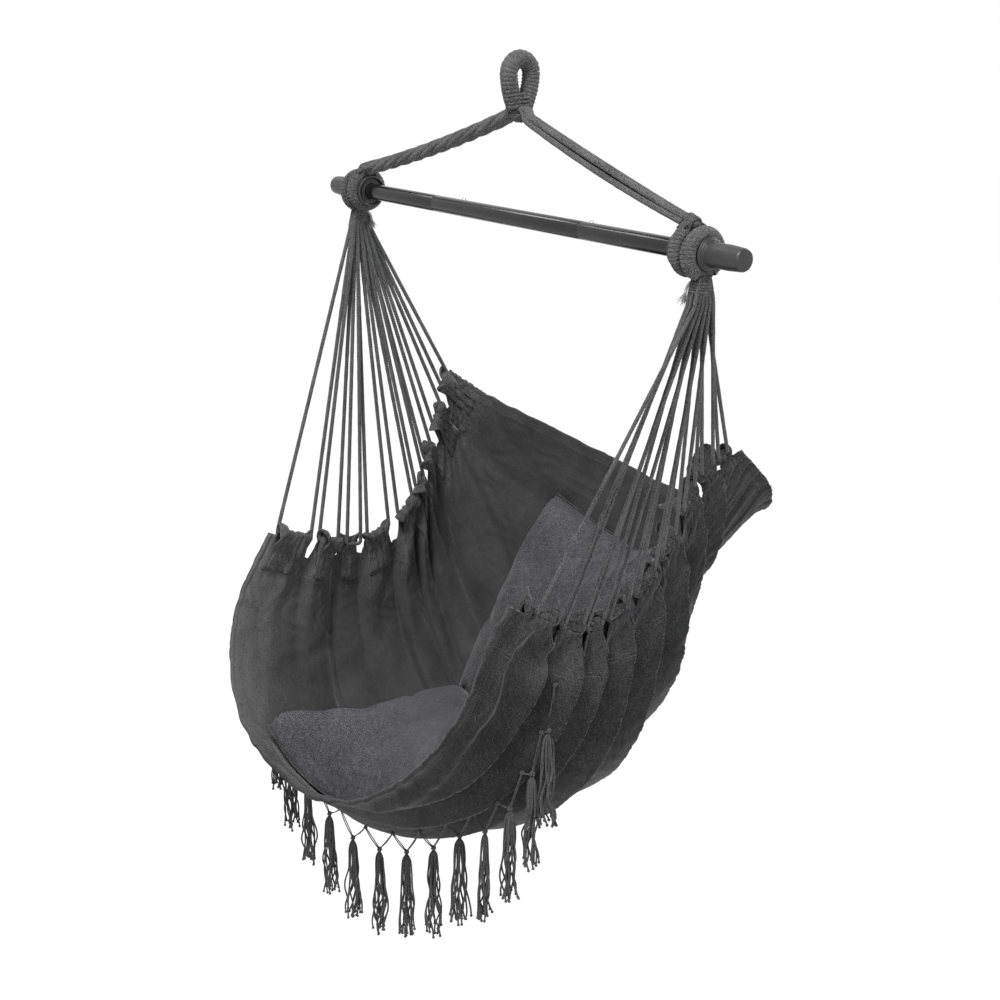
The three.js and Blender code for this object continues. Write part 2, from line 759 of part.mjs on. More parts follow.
// A lashing over the top of an inner ring, opened where the ring's core passes
function makeLashing(side) {
  const frame = strandFrame(side);
  const half = lashingLength / 2;
  const bevel = lashingRadius / 4;
  const profile = [[0, -half], [lashingRadius - bevel, -half], [lashingRadius, bevel - half], [lashingRadius, half - bevel],
    [lashingRadius - bevel, half], [0, half]];
  const barrel = latheAlongX(profile, 12);
  barrel.applyQuaternion(new THREE.Quaternion().setFromUnitVectors(new THREE.Vector3(1, 0, 0), frame.along));
  barrel.translate(frame.to.x, frame.to.y, frame.to.z);
  const room = new THREE.TorusGeometry(ringRadius, ringCoreRadius + 1.5 * fit, 6, 20);
  room.rotateY(Math.PI / 2).translate(side * innerRingX, 0, ringSlack);
  return fromSolid(solid(barrel).subtract(solid(room)));
}

// Fan cords: each leaves the neck, runs to the sling's edge, along it and back
function fanTop(side, index) {
  const column = Math.floor(index / fanTopRows);
  const row = index % fanTopRows;
  const columns = (2 * leftSpanShares.length) / fanTopRows;
  const y = (column - (columns - 1) / 2) * fanTopPitch;
  const x = side * outerRingX + side * ((fanTopRows - 1) / 2 - row) * fanRowPitch;
  return new THREE.Vector3(x, y, fanTopZ - fit);
}

// A bend of the cords' radius between two straight stretches that meet at a corner
function bendPoints(before, corner, after) {
  const back = before.clone().sub(corner).normalize();
  const onwards = after.clone().sub(corner).normalize();
  const reach = fanBendRadius / Math.tan(back.angleTo(onwards) / 2);
  const from = corner.clone().addScaledVector(back, reach);
  const to = corner.clone().addScaledVector(onwards, reach);
  const curve = new THREE.QuadraticBezierCurve3(from, corner, to);
  return curve.getPoints(fanBendSteps);
}

function makeFanCord(side, index) {
  const shares = (side < 0 ? leftSpanShares : rightSpanShares)[index];
  const across = side < 0 ? 0 : 1;
  const tops = [fanTop(side, 2 * index), fanTop(side, 2 * index + 1)];
  const starts = tops.map((top) => top.clone().setZ(top.z - 2 * fanCordRadius));
  const corners = shares.map((along, i) => {
    const edge = slingPlace(across, along);
    const hem = slingPlace(across, shares[1 - i]).sub(edge).normalize();
    const outwards = edge.clone().sub(slingPlace(Math.abs(across - hemShare), along));
    outwards.addScaledVector(hem, -outwards.dot(hem)).normalize();
    return edge.addScaledVector(outwards, fanCordRadius + cordSeat);
  });
  const points = [tops[0], starts[0]];
  points.push(...bendPoints(starts[0], corners[0], corners[1]), ...bendPoints(corners[0], corners[1], starts[1]));
  points.push(starts[1], tops[1]);
  return tube(points, fanCordRadius, cordSides);
}

// Fringe: a zigzag of cord under the sling with a tassel at each lower knot
function fringePlace(share) {
  const across = THREE.MathUtils.lerp(fringeFromShares.across, fringeToShares.across, share);
  const along = THREE.MathUtils.lerp(fringeFromShares.along, fringeToShares.along, share);
  const { place, normal } = insideSling(across, along);
  return place.addScaledVector(normal, -(slingThickness + knotRadius + 2 * fit));
}

function fringeKnots() {
  const samples = 100;
  const row = Array.from({ length: samples + 1 }, (unused, i) => fringePlace(i / samples));
  const line = new THREE.CurvePath();
  row.slice(1).forEach((place, i) => line.add(new THREE.LineCurve3(row[i], place)));
  const knots = Array.from({ length: 2 * fringeTassels + 1 }, (unused, i) => line.getPoint(i / (2 * fringeTassels)));
  const upper = knots.filter((unused, i) => i % 2 === 0);
  const lower = knots.filter((unused, i) => i % 2 === 1);
  lower.forEach((place) => {
    place.z -= fringeDrop;
  });
  return { upper, lower };
}

function tasselBody(head) {
  const profile = [[0, -tasselLength], [tasselRadius, -tasselLength], [tasselRadius * tasselWaistShare, -tasselLength / 2],
    [knotRadius, -2 * knotRadius], [knotRadius, 0], [0, knotRadius]];
  return solid(latheAlongZ(profile, tasselSides).translate(head.x, head.y, head.z));
}

function makeFringe() {
  const { upper, lower } = fringeKnots();
  const pieces = lower.map((head) => tasselBody(head));
  upper.forEach((knot) => {
    pieces.push(solid(new THREE.OctahedronGeometry(knotRadius, 0).translate(knot.x, knot.y, knot.z)));
  });
  lower.forEach((head, i) => {
    [upper[i], upper[i + 1]].forEach((knot) => {
      pieces.push(solid(tube([knot, head], fringeCordRadius, fringeCordSides)));
    });
  });
  return fromSolid(wasm.Manifold.union(pieces));
}

// The chair, about the middle of its bar
const chair = new THREE.Group();

function add(name, geometry, look) {
  const mesh = new THREE.Mesh(geometry, look);
  mesh.name = name;
  chair.add(mesh);
}

const sides = { left: -1, right: 1 };

add("loop_core", makeLoopCore(), materials.rope);
add("loop_serving", winding("loop_serving", loopLine, loopCoreRadius, loopTurns), materials.rope);
add("neck_whipping", makeNeckCup(), materials.rope);
for (let i = 0; i < strandCords; i += 1) {
  add(`left_strand_cord_${i + 1}`, makeTwistedCord(i), materials.rope);
  add(`right_strand_cord_${i + 1}`, makeStraightCord(i), materials.rope);
}
Object.entries(sides).forEach(([word, side]) => {
  add(`${word}_inner_ring`, makeRing(side * innerRingX, ringSlack), materials.rope);
  add(`${word}_outer_ring`, makeOuterRing(side * outerRingX), materials.rope);
  const innerLine = ringLine(side * innerRingX, ringSlack, true);
  const outerLine = ringLine(side * outerRingX, -ringSlack, false);
  add(`${word}_inner_serving`, winding(`${word}_inner_serving`, innerLine, ringCoreRadius, ringTurns), materials.rope);
  add(`${word}_outer_serving`, winding(`${word}_outer_serving`, outerLine, ringCoreRadius, ringTurns), materials.rope);
  add(`${word}_lashing`, makeLashing(side), materials.rope);
  const collarX = innerRingX - servedRadius(ringCoreRadius) - fit;
  add(`${word}_inner_collar`, aboutBar(collarProfile(), collarX, side, -1), materials.plastic);
  add(`${word}_end_cap`, aboutBar(capProfile(), capStartX, side, 1), materials.plastic);
  for (let i = 0; i < leftSpanShares.length; i += 1) {
    add(`${word}_fan_cord_${i + 1}`, makeFanCord(side, i), materials.rope);
  }
});
add("left_tube", makeTube(tubeWithInsert(-tubeEndX, leftSeamX), [leftButtonX]), materials.steel);
add("middle_tube", makeTube(tubeWithInsert(leftSeamX + fit, rightSeamX), [leftButtonX, rightButtonX]), materials.steel);
add("right_tube", makeTube(plainTube(rightSeamX + fit, tubeEndX), [rightButtonX]), materials.steel);
add("left_snap_button", makeButton(leftButtonX), materials.bright);
add("right_snap_button", makeButton(rightButtonX), materials.bright);
add("sling", makeSling(), materials.cloth);
add("seat_cushion", makeSeatCushion(), materials.cushion);
add("back_cushion", makeBackCushion(), materials.cushion);
add("tassel_fringe", makeFringe(), materials.rope);

chair.position.set(-hookOffsetX, 0, -hookZ);

export default chair;
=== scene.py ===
# The looks of the hammock chair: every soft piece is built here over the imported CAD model,
# in metres, in the CAD's own frame. Shapes are written about the middle of the spreader bar
# and BAR moves them to the frame, whose origin is where the hanging loop rests on its hook.
# In tables with one entry for each side, -1 is the left (far) side and 1 the right one.
import math

import bmesh
import bpy
import numpy as np
from mathutils import Matrix, Vector
from mathutils.bvhtree import BVHTree


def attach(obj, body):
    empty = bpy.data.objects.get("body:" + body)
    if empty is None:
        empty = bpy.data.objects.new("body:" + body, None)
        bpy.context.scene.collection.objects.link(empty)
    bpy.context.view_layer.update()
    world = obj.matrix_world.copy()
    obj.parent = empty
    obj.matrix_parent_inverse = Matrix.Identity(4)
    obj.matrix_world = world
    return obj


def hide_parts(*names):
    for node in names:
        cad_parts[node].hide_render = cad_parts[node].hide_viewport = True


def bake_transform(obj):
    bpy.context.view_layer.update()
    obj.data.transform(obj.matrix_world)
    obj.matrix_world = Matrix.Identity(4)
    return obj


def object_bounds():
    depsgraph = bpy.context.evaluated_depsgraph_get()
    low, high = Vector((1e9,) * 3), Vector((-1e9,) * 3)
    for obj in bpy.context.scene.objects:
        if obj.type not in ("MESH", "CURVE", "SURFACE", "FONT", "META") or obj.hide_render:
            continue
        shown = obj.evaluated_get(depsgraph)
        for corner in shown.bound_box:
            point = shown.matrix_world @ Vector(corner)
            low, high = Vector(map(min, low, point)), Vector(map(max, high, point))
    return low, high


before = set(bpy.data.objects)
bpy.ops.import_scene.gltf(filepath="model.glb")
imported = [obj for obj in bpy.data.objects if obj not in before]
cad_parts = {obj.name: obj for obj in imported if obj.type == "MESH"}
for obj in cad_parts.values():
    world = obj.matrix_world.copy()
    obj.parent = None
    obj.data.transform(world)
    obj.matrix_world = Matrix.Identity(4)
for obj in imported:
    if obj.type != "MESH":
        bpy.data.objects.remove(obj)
cad_box = [list(corner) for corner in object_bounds()]

BAR = np.array([-0.028, 0.0, -0.209])
X, Y, UP = np.eye(3)
SIDES = {"left": -1, "right": 1}
FULL_TURN = 2 * math.pi

# Camera of the photograph
CAMERA_PLACE = (1.727, -1.314, 0.075)
CAMERA_AHEAD = (-0.7616, 0.5675, -0.3129)
CAMERA_UP = (-0.2572, 0.1785, 0.9497)
CAMERA_LENS = 53.28
CAMERA_SENSOR = 36
CAMERA_CLIP = (0.05, 60)

# Lamps (name, place, target, size, power), world and floor. The floor is white with the
# object's faint shadow on it
LAMPS = [
    ("key", (0.7, -1.7, 2.6), (0, 0, -0.8), 1.1, 130),
    ("fill", (3.4, -0.6, 0.4), (0, 0, -0.8), 2.2, 42),
    ("rim", (0.1, 3.6, 0.9), (0.2, 0, -0.7), 1.2, 95),
    ("glint", (-2.5, -0.3, 2.1), (0, 0, -0.2), 0.7, 10),
]
WHITE = (1, 1, 1, 1)
WORLD_GLOW = 0.32
FLOOR_DROP = 0.35
FLOOR_REACH = 14
FLOOR_COLOUR = (0.86, 0.86, 0.86, 1)
FLOOR_WHITE = 1.1
FLOOR_WHITE_SHARE = 0.88

# Spreader bar
TUBE_RADIUS = 0.0127
TUBE_WALL = 0.0012
TUBE_LIP = 0.0005
FIT = 0.0003
LEFT_SEAM_X = -0.181
RIGHT_SEAM_X = 0.176
INSERT_LENGTH = 0.09
INSERT_LAP = 0.002
BUTTON_LEAN = math.pi / 6
BUTTON_XS = {-1: -0.116, 1: 0.187}
BUTTON_PROFILE = [[0.0001, 0.008], [0.0035, 0.008], [0.0035, 0.0152], [0.0001, 0.0165]]
BUTTON_LIP = 0.0014

# Ropes
SERVING_RADIUS = 0.0019
FAN_CORD_RADIUS = 0.0028
FAN_ROPE_RADIUS = {-1: 0.0036, 1: 0.003}
STRAND_CORD_RADIUS = 0.0033
RING_CORE = 0.0056
LOOP_CORE = 0.008
# The solids' windings are prisms of seven sides
TURN_STRETCH = 1 / math.cos(math.pi / 7)
RING_REACH = (RING_CORE + FIT + SERVING_RADIUS) * TURN_STRETCH + SERVING_RADIUS
LOOP_REACH = (LOOP_CORE + FIT + SERVING_RADIUS) * TURN_STRETCH + SERVING_RADIUS
RING_BORE = 0.0146
RING_RADIUS = RING_BORE + RING_REACH
RING_SLACK = RING_BORE - TUBE_RADIUS - FIT
RING_FOOT_Z = -RING_SLACK - RING_RADIUS
INNER_RING_X = 0.3905
OUTER_RING_X = INNER_RING_X + 2 * RING_REACH + 2 * FIT
RING_TURNS = 31
RING_SERVED = (5 / 3) * math.pi
LAY_SHRINK = 1.02
LAY_UNEVEN = 0.035
# How each kind of cord is laid: the length of one turn, its plies and how they show
THIN_CORD = {"pitch": 0.0065, "lobe": 0.2, "sides": 10}
FAN_LAY = {"pitch": 0.0125, "lobe": 0.24}
STRAND_LAY = {"pitch": 0.045, "ply": 6, "lobe": 0.07, "sides": 24, "hand": -1}
FOOT_LAY = {"pitch": 0.0075, "step": 0.0015, "lobe": 0.12}
NET_LAY = {"pitch": 0.005, "step": 0.0016, "sides": 8}
KNOT_LAY = {"pitch": 0.004, "step": 0.0013, "sides": 8, "closed": True}
TASSEL_LAY = {"pitch": 0.006, "step": 0.003, "ply": 2, "sides": 6}
TAIL_LAY = {"pitch": 0.006, "step": 0.0012, "lobe": 0.2, "sides": 8}
# A winding's cord: its half height and least and most half width in shares of its radius,
# its half width in shares of the pitch, its unevenness and the length of its own lay
SERVED_HIGH = 0.8
SERVED_WIDE = (0.5, 2.8)
SERVED_FILL = 0.54
SERVED_UNEVEN = 0.0002
SERVED_LAY = 0.007

# Turns that bind the heads of the fan cords under the outer ring: radii and drop at their
# start, with what they gain over their length
BINDING_CORD = 0.0018
BINDING_WIDE = (0.0092, 0.0012)
BINDING_DEEP = (0.0128, 0.003)
BINDING_DROP = (0.0075, 0.0145)
BINDING_TOP = 0.001
BINDING_CORE = np.array([0.0105, -0.026])
BINDING_CORE_PROFILE = [[0.0003, 0], [0.7, 0.0], [0.9, 0.35], [1.0, 1.0], [0.0003, 1.0]]

# Caps and collars of the bar, as [radius, along] pairs
CAP_X = OUTER_RING_X + RING_REACH + FIT
CAP_LENGTH = 0.063
CAP_WALL = 0.004
CAP_LIP = 0.0012
CAP_BORE = TUBE_RADIUS + FIT
CAP_PROFILE = [
    [0.0002, 0.059], [CAP_BORE, 0.059], [CAP_BORE, 0], [0.0215, 0], [0.0215, 0.003],
    [0.019, 0.003], [0.019, 0.006], [0.0162, 0.006], [0.0162, 0.038], [0.0148, 0.0605],
    [0.0136, 0.063], [0.0002, 0.063],
]
COLLAR_X = INNER_RING_X - RING_REACH - FIT
COLLAR_LIP = 0.0009
COLLAR_PROFILE = [
    [CAP_BORE, 0], [0.025, 0], [0.025, 0.008], [0.0225, 0.008], [0.02, 0.004],
    [0.0155, 0.004], [0.0155, 0.006], [CAP_BORE, 0.006], [CAP_BORE, 0],
]

# Hanging loop
HOOK_X = 0.028
HOOK_Z = 0.209
EYE_HALF_WIDTH = 0.0064
NECK_Z = 0.158
NECK_HALF_GAP = 0.0085
NECK_JOINT = np.array([HOOK_X, 0, 0.15])
NECK_CUP_RADIUS = 0.0155
NECK_PROFILE = [
    [0.0002, -0.0108], [0.006, -0.009], [0.0098, -0.004], [0.0108, 0.001], [0.0102, 0.006],
    [0.007, 0.014], [0.0002, 0.0165],
]
CUP_PROFILE = np.array([[0.0002, -1.0], [0.4, -0.92], [0.75, -0.66], [0.96, -0.28], [0.985, 0.12]])
CUP_INSIDE = 0.0006
WHIPPING_LATITUDES = (0.22, 1.12)
ARCH_RADIUS = EYE_HALF_WIDTH + LOOP_REACH
ARCH_Z = HOOK_Z + LOOP_REACH - ARCH_RADIUS
LEG_SHARE = 0.3
LOOP_TURNS = 29
LOOP_CORD_RADIUS = 0.0023
FOOT_WIDE = NECK_HALF_GAP + LOOP_REACH - 0.001
FOOT_WAIST = 0.001
FOOT_DEEP = LOOP_REACH - 0.0012
FOOT_Z = NECK_Z - 0.004
FOOT_HEIGHT = 0.021

# Suspension strands
STRAND_CORDS = 5
STRAND_START = 0.0158
STRAND_SAG = 0.006
LASHING_Z = RING_SLACK + RING_RADIUS + 0.0075
LASHING_RADIUS = 0.012
LASHING_LENGTH = 0.02
LASHING_INSIDE = 0.0006
LASHING_UNEVEN = 0.0005
LASHING_PITCH = 0.0042
STRAND_TURNS = 2.2
STRAND_ROPE_RADIUS = {-1: 0.0058, 1: 0.0043}
STRAND_LAY_RADIUS = 0.0056
STRAND_SPREAD = 0.0035
STRAND_BEND = 0.06
STRAND_HEAD_RADIUS = NECK_CUP_RADIUS + STRAND_CORD_RADIUS + 0.0006
STRAND_HEAD_DROP = 0.011
STRAND_HEAD_ANGLES = np.linspace(-0.15, 0.75, 7)[::-1]
STRAND_STEP = 0.003

# Fan cords
FAN_NECK = 0.033
FAN_TOP_Z = RING_FOOT_Z - FAN_NECK
FAN_TOP_PITCH = 0.0064
FAN_ROW_PITCH = 0.0068
FAN_BUNDLE = np.array([0.95, 0.72, 0])
FAN_ROOT = np.array([0.85, 0.5, 0])
FAN_ROOT_DROP = 0.002
FAN_BEND_RADIUS = 0.006
FAN_SLACK = 0.0022
FAN_SLACK_REACH = 0.12
FAN_SLACK_WAVE = 0.17
FAN_STEP = 0.002
CORD_SEAT = 0.0005
HEM_SHARE = 0.02

# Sling: half its width, its reach from front to back and its drop, and the shares of them
# at which its edges and its middle line run, with the handles of the curves between them
SLING_SIZE = np.array([0.35, 0.4, 0.96])
EDGES = {
    -1: [
        [-1, -0.555, -0.573], [-1.005, -0.325, -0.609], [-1.005, -0.125, -0.633],
        [-1, 0.05, -0.604], [-1, 0.188, -0.552], [-1, 0.263, -0.458], [-1, 0.355, -0.33],
    ],
    1: [
        [0.909, -0.513, -0.492], [0.92, -0.325, -0.536], [0.92, -0.188, -0.547],
        [0.92, -0.025, -0.521], [0.92, 0.125, -0.458], [0.92, 0.263, -0.365],
        [0.914, 0.445, -0.321],
    ],
}
MIDDLE = [
    [-0.171, -0.805, -0.904], [-0.143, -0.563, -0.995], [-0.114, -0.263, -1.0125],
    [-0.071, 0.04, -0.985], [-0.043, 0.31, -0.912], [-0.029, 0.488, -0.783],
    [-0.014, 0.6, -0.625], [0, 0.64, -0.446],
]
EDGE_HANDLES = {
    -1: [
        [-0.07, -0.34, -0.177], [-0.075, -0.175, -0.208], [-0.086, -0.05, -0.229],
        [-0.086, 0.05, -0.24], [-0.086, 0.15, -0.229], [-0.057, 0.225, -0.198],
        [0.029, 0.088, -0.052],
    ],
    1: [
        [0.1, -0.338, -0.145], [0.15, -0.15, -0.214], [0.13, -0.04, -0.245],
        [0.12, 0.03, -0.262], [0.11, 0.12, -0.25], [0.055, 0.175, -0.182], [0.1, 0.44, -0.156],
    ],
}
MIDDLE_HANDLES = {
    -1: [
        [-0.6, -0.05, -0.031], [-0.571, 0, -0.01], [-0.571, 0, 0], [-0.571, 0, 0],
        [-0.571, 0, 0], [-0.543, 0, 0], [-0.486, -0.025, 0.021],
    ],
    1: [
        [0.62, 0.06, 0.042], [0.58, 0.025, 0.025], [0.56, 0.01, 0.01], [0.56, 0.02, 0],
        [0.53, 0.02, -0.005], [0.5, 0, 0], [0.486, 0, -0.031],
    ],
}
# Stretches of the side edges that the cords hold, as shares from the front
SPANS = {
    -1: [
        [0.015, 0.13], [0.16, 0.235], [0.275, 0.335], [0.37, 0.475], [0.53, 0.62],
        [0.655, 0.72], [0.755, 0.82], [0.86, 0.92], [0.95, 0.99],
    ],
    1: [
        [0.045, 0.12], [0.15, 0.235], [0.27, 0.355], [0.39, 0.475], [0.52, 0.605],
        [0.645, 0.72], [0.76, 0.82], [0.85, 0.9], [0.925, 0.965],
    ],
}
# For each gap between them: how deep the fold below it is, how far that leans back, and how
# far the slit at its top reaches down
FOLDS = {
    -1: [0.3, 0.5, 0.45, 0.5, 1.15, 0.9, 0.55, 0.4],
    1: [0.8, 0.95, 1, 1, 1, 0.95, 0.8, 0.5],
}
DRIFTS = {
    -1: [0, 0, 0.05, 0.15, 0.35, 0.6, 0.8, 0.9],
    1: [0.2, 0.28, 0.33, 0.36, 0.36, 0.36, 0.36, 0.36],
}
SLITS = {
    -1: [0.03, 0.022, 0.02, 0.035, 0.02, 0.02, 0.02, 0.02],
    1: [0.02, 0.026, 0.026, 0.026, 0.028, 0.026, 0.014, 0.004],
}
CLOTH_HALF = 0.0008
TRIM = 0.01
HEM_BAND = 0.068
HEM_EXTRA = 0.0004
HEM_STITCHES = (HEM_BAND - 0.004, HEM_BAND - 0.0095)
LOBE_STEPS, GAP_STEPS, END_STEPS = 26, 14, 8
SLEEVE_RADIUS = 0.0076
SLEEVE_ANGLES = np.linspace(-0.35, math.pi, 15)
SLEEVE_DEPTHS = (0.006, 0.012, 0.019, 0.027, 0.036, 0.046, 0.056, HEM_BAND - 0.004)
SLEEVE_CRIMP_PITCH = 0.0095
SLEEVE_CRIMP = 0.0014
SLEEVE_GAP = 0.003
SLEEVE_GAP_REACH = 0.017
SLEEVE_UNEVEN = 0.0012
SLEEVE_HALF = CLOTH_HALF + 0.0003
LOBE_EAR = {-1: 0.008, 1: 0.012}
MOUTH_FLARE = {-1: 0.6, 1: 1.05}
FOLD_OUT = 0.042
FOLD_CENTRE = 0.55
FOLD_LEAN = 0.01
FOLD_REACH = {-1: 0.24, 1: 0.32}
FOLD_SOFTNESS = {-1: 0.14, 1: 0.03}
FOLD_BULGE = {-1: 2.6, 1: 1.7}
CORNER_DROP = 0.003
SLIT_REACH = 0.045
GAP_PUFF = 0.0015
PUFF_REACH = 0.02
CRIMP = 0.0017
CRIMP_PITCH = 0.0105
PULL = 0.0035
PULL_PITCH = 0.045
PULL_REACH = 0.16
CREASE_DEPTH = {-1: 0.003, 1: 0.0045}
CREASE_REACH = 0.3
SAG = 0.004
# Sling cloth grain strength: weaker on the inner face as painted shade, where the inside lies in
# shade, and stronger on the lit hems and front.
INNER_SHADED_GRAIN = 0.25
OUTER_GRAIN = 0.6
# Sling cloth paleness, added to its tone: the inner face, the front of the far side and the far
# sleeves are painted paler as painted light that makes up for the shade they lie in, and the hems
# are painted paler as a painted highlight. PALE_PLAIN is the plain tone elsewhere.
INNER_PAINTED_LIGHT = 0.14
OUTER_PALE = 0.02
HEM_PAINTED_LIGHT = {"inner": 0.05, "outer": 0.06}
FAR_FRONT_PAINTED_LIGHT = 0.17
FAR_SLEEVE_PAINTED_LIGHT = 0.2
PALE_PLAIN = 0.08
# Long folds of the inside: start and end (shares across and along), depth and softness
LONG_FOLDS = [
    ((-0.05, 0.279), (0.29, 0.262), 0.023, 0.0015),
    ((0.05, 0.919), (0.4, 0.893), 0.014, 0.005),
    ((0.03, 0.742), (0.32, 0.6), 0.022, 0.002),
    ((0.064, 0.67), (0.3, 0.525), 0.009, 0.006),
]
LONG_FOLD_FRONT, LONG_FOLD_BACK = 0.022, 0.065
# Front and back rims with their rolled hems, and the band along the front one
RIM_EXTRA = 0.0009
RIM_ROLL, RIM_ROLL_AT, RIM_ROLL_WIDE = 0.0022, 0.003, 0.004
RIM_RIDGE, RIM_RIDGE_AT, RIM_RIDGE_WIDE = 0.0007, 0.011, 0.0025
RIM_WAVE = 0.0014
RIM_WAVE_PITCH = 0.055
RIM_CURL = 0.006
RIM_CURL_REACH = 0.011
RIM_STITCH = 0.0155
CORNER_OUT = 0.024
CORNER_UP = 0.006
BAND_WIDTH = 0.036
BAND_OUT = 0.005
BAND_VALLEY = 0.017
STITCH_LENGTH = 0.0032
STITCH_GAP = 0.0014
STITCH_RADII = 0.00042 * np.array([0.35, 0.95, 1.1, 0.95, 0.35])

# Cushions: their spots on the sling, as shares. Creases run between two places of the
# cover, with a depth and a width
SEAT_SPOT = {
    "across": 0.54, "along": 0.264, "half_across": 0.2, "half_along": 0.23, "lean": 0,
    "upright": 0.55, "ear": 0.022, "bow": 0, "thickness": 0.192,
    "creases": [
        ((-0.95, -0.6), (-0.5, -0.35), 0.012, 0.07), ((-0.6, 0.9), (0.1, 0.35), 0.007, 0.09),
        ((0.15, 0.3), (0.8, -0.1), 0.006, 0.1), ((-0.3, -0.2), (0.5, -0.65), 0.006, 0.1),
        ((-0.85, 0.2), (-0.45, 0.1), 0.009, 0.07), ((0.5, 0.9), (0.6, 0.4), 0.006, 0.07),
    ],
}
BACK_SPOT = {
    "across": 0.545, "along": 0.715, "half_across": 0.205, "half_along": 0.21, "lean": 0.02,
    "upright": 0.3, "ear": 0, "bow": 0.055, "thickness": 0.125,
    "creases": [
        ((-0.9, 0.85), (-0.5, 0.5), 0.007, 0.07), ((-0.9, -0.2), (-0.4, 0.05), 0.005, 0.09),
        ((0.2, 0.9), (0.1, 0.45), 0.006, 0.08), ((0.9, 0.8), (0.5, 0.4), 0.007, 0.07),
        ((-0.2, -0.9), (0, -0.4), 0.007, 0.1),
    ],
}
CUSHION_HALF = 0.225
CUSHION_CELLS = 64
CUSHION_DRAWN_IN = 0.045
CUSHION_PRESSURE = 5
CUSHION_FRAMES = 22
CUSHION_GAP = 0.003
CUSHION_LUMP = 0.005
CUSHION_PUCKER = 0.0022
CUSHION_SEAM = 0.004
CUSHION_REST = 0.0024
EAR_SIZE = 0.03
WELT_RADIUS = 0.0011

# Fringe and frayed tails
FRINGE_TASSELS = 14
FRINGE_FROM = (0.14, 0.09)
FRINGE_TO = (0.94, 0.16)
FRINGE_DROP = 0.032
FRINGE_PROUD = 0.0028
FRINGE_SEARCH = 0.08
FRINGE_KNOT = 0.0036
NET_THREAD = 0.0009
NET_DOUBLE = 0.0008
NET_SAG = 0.002
TASSEL_KNOT = 0.0042
TASSEL_LENGTH = 0.15
TASSEL_THREADS = 15
TASSEL_TOP = 0.004
TASSEL_WAVE = 0.006
TASSEL_BODY = 0.0068
TASSEL_FLARE = 0.0065
TASSEL_THREAD = 0.0015
# Heights of a thread's knotted tip above its end, and its radii there
TIP = [(0.001, 0.0012), (-0.0006, 0.0023), (-0.0022, 0.0021), (-0.0034, 0.0006)]
TAIL_BENDS = [(0.004, 0.004), (0.012, 0.009), (0.018, 0.016), (0.02, 0.026)]
TAIL_HAIRS = 60
HAIR_RADII = np.array([0.0003, 0.0003, 0.00028, 0.00024, 0.0001])


# Small helpers
def ripple(values, seed, waves=6):
    """A smooth, seeded unevenness from -1 to 1 with features about one unit long."""
    random = np.random.RandomState(seed)
    rates = random.uniform(0.35, 1.3, waves) * FULL_TURN
    phases = random.uniform(0, FULL_TURN, waves)
    total = sum(np.sin(values * rate + phase) for rate, phase in zip(rates, phases))
    return total / waves ** 0.5 / 1.4


def smooth(low, high, values):
    """Rises from 0 at low to 1 at high."""
    t = np.clip((values - low) / (high - low), 0, 1)
    return t * t * (3 - 2 * t)


def bell(values, width, power=2):
    """Falls from 1 at zero, to 1/e at the width."""
    return np.exp(-((values / width) ** power))


def unit(vectors):
    return vectors / np.maximum(np.linalg.norm(vectors, axis=-1, keepdims=True), 1e-12)


def lengths_along(line):
    return np.concatenate([[0], np.cumsum(np.linalg.norm(np.diff(line, axis=0), axis=1))])


def read_at(line, reach, at):
    """The places at some lengths along a line."""
    return np.stack([np.interp(at, reach, line[:, k]) for k in range(3)], -1)


def spaced(line, step):
    """The line again with places about a step apart."""
    line = np.asarray(line, float)
    reach = lengths_along(line)
    count = max(int(round(reach[-1] / step)), 2)
    return read_at(line, reach, np.linspace(0, reach[-1], count + 1))


def rounded(line, step, passes=3):
    """Spaced places with their corners eased."""
    line = spaced(line, step)
    for _ in range(passes):
        line[1:-1] = (line[:-2] + 2 * line[1:-1] + line[2:]) / 4
    return line


def curve(a, corner, b, steps):
    """Places on the way from a to b, drawn towards the corner between them."""
    return [(1 - t) ** 2 * a + 2 * t * (1 - t) * corner + t ** 2 * b
            for t in np.linspace(0, 1, steps + 1)]


def wound(turns, steps):
    """Shares along a winding, with some steps a turn, and the angle at each."""
    t = np.linspace(0, 1, turns * steps + 1)
    return t, FULL_TURN * turns * t


def about(middle, first, cosine, second, sine, rest=0.0):
    """Places about a middle: first and second are the directions of cosine and sine."""
    places = [np.multiply.outer(np.broadcast_to(amount, np.shape(sine)), way)
              for way, amount in ((first, cosine), (second, sine), (UP, rest))]
    return middle + sum(places)


def steady_frames(line, closed=False):
    """Two directions square to a line, all along it, that don't twist."""
    ahead = np.roll(line, -1, 0) - np.roll(line, 1, 0) if closed else np.gradient(line, axis=0)
    ahead = unit(ahead)
    start = UP if abs(ahead[0] @ UP) < 0.9 else X
    side = start - ahead[0] * (start @ ahead[0])
    out = np.zeros_like(line)
    for i, direction in enumerate(ahead):
        side = side - direction * (side @ direction)
        side /= np.linalg.norm(side)
        out[i] = side
    return out, np.cross(ahead, out)


def grid_faces(rows, columns, start=0, wrap=False):
    """Quads of a grid of rows by columns, wrapped across its columns if asked."""
    last = columns if wrap else columns - 1
    i, j = np.meshgrid(np.arange(rows - 1), np.arange(last), indexing="ij")
    k, i = (j + 1) % columns, i * columns
    quads = np.stack([i + j, i + k, i + columns + k, i + columns + j], -1)
    return (quads.reshape(-1, 4) + start).tolist()


def closed_tree(places, faces):
    return BVHTree.FromPolygons([tuple(place) for place in places], faces)


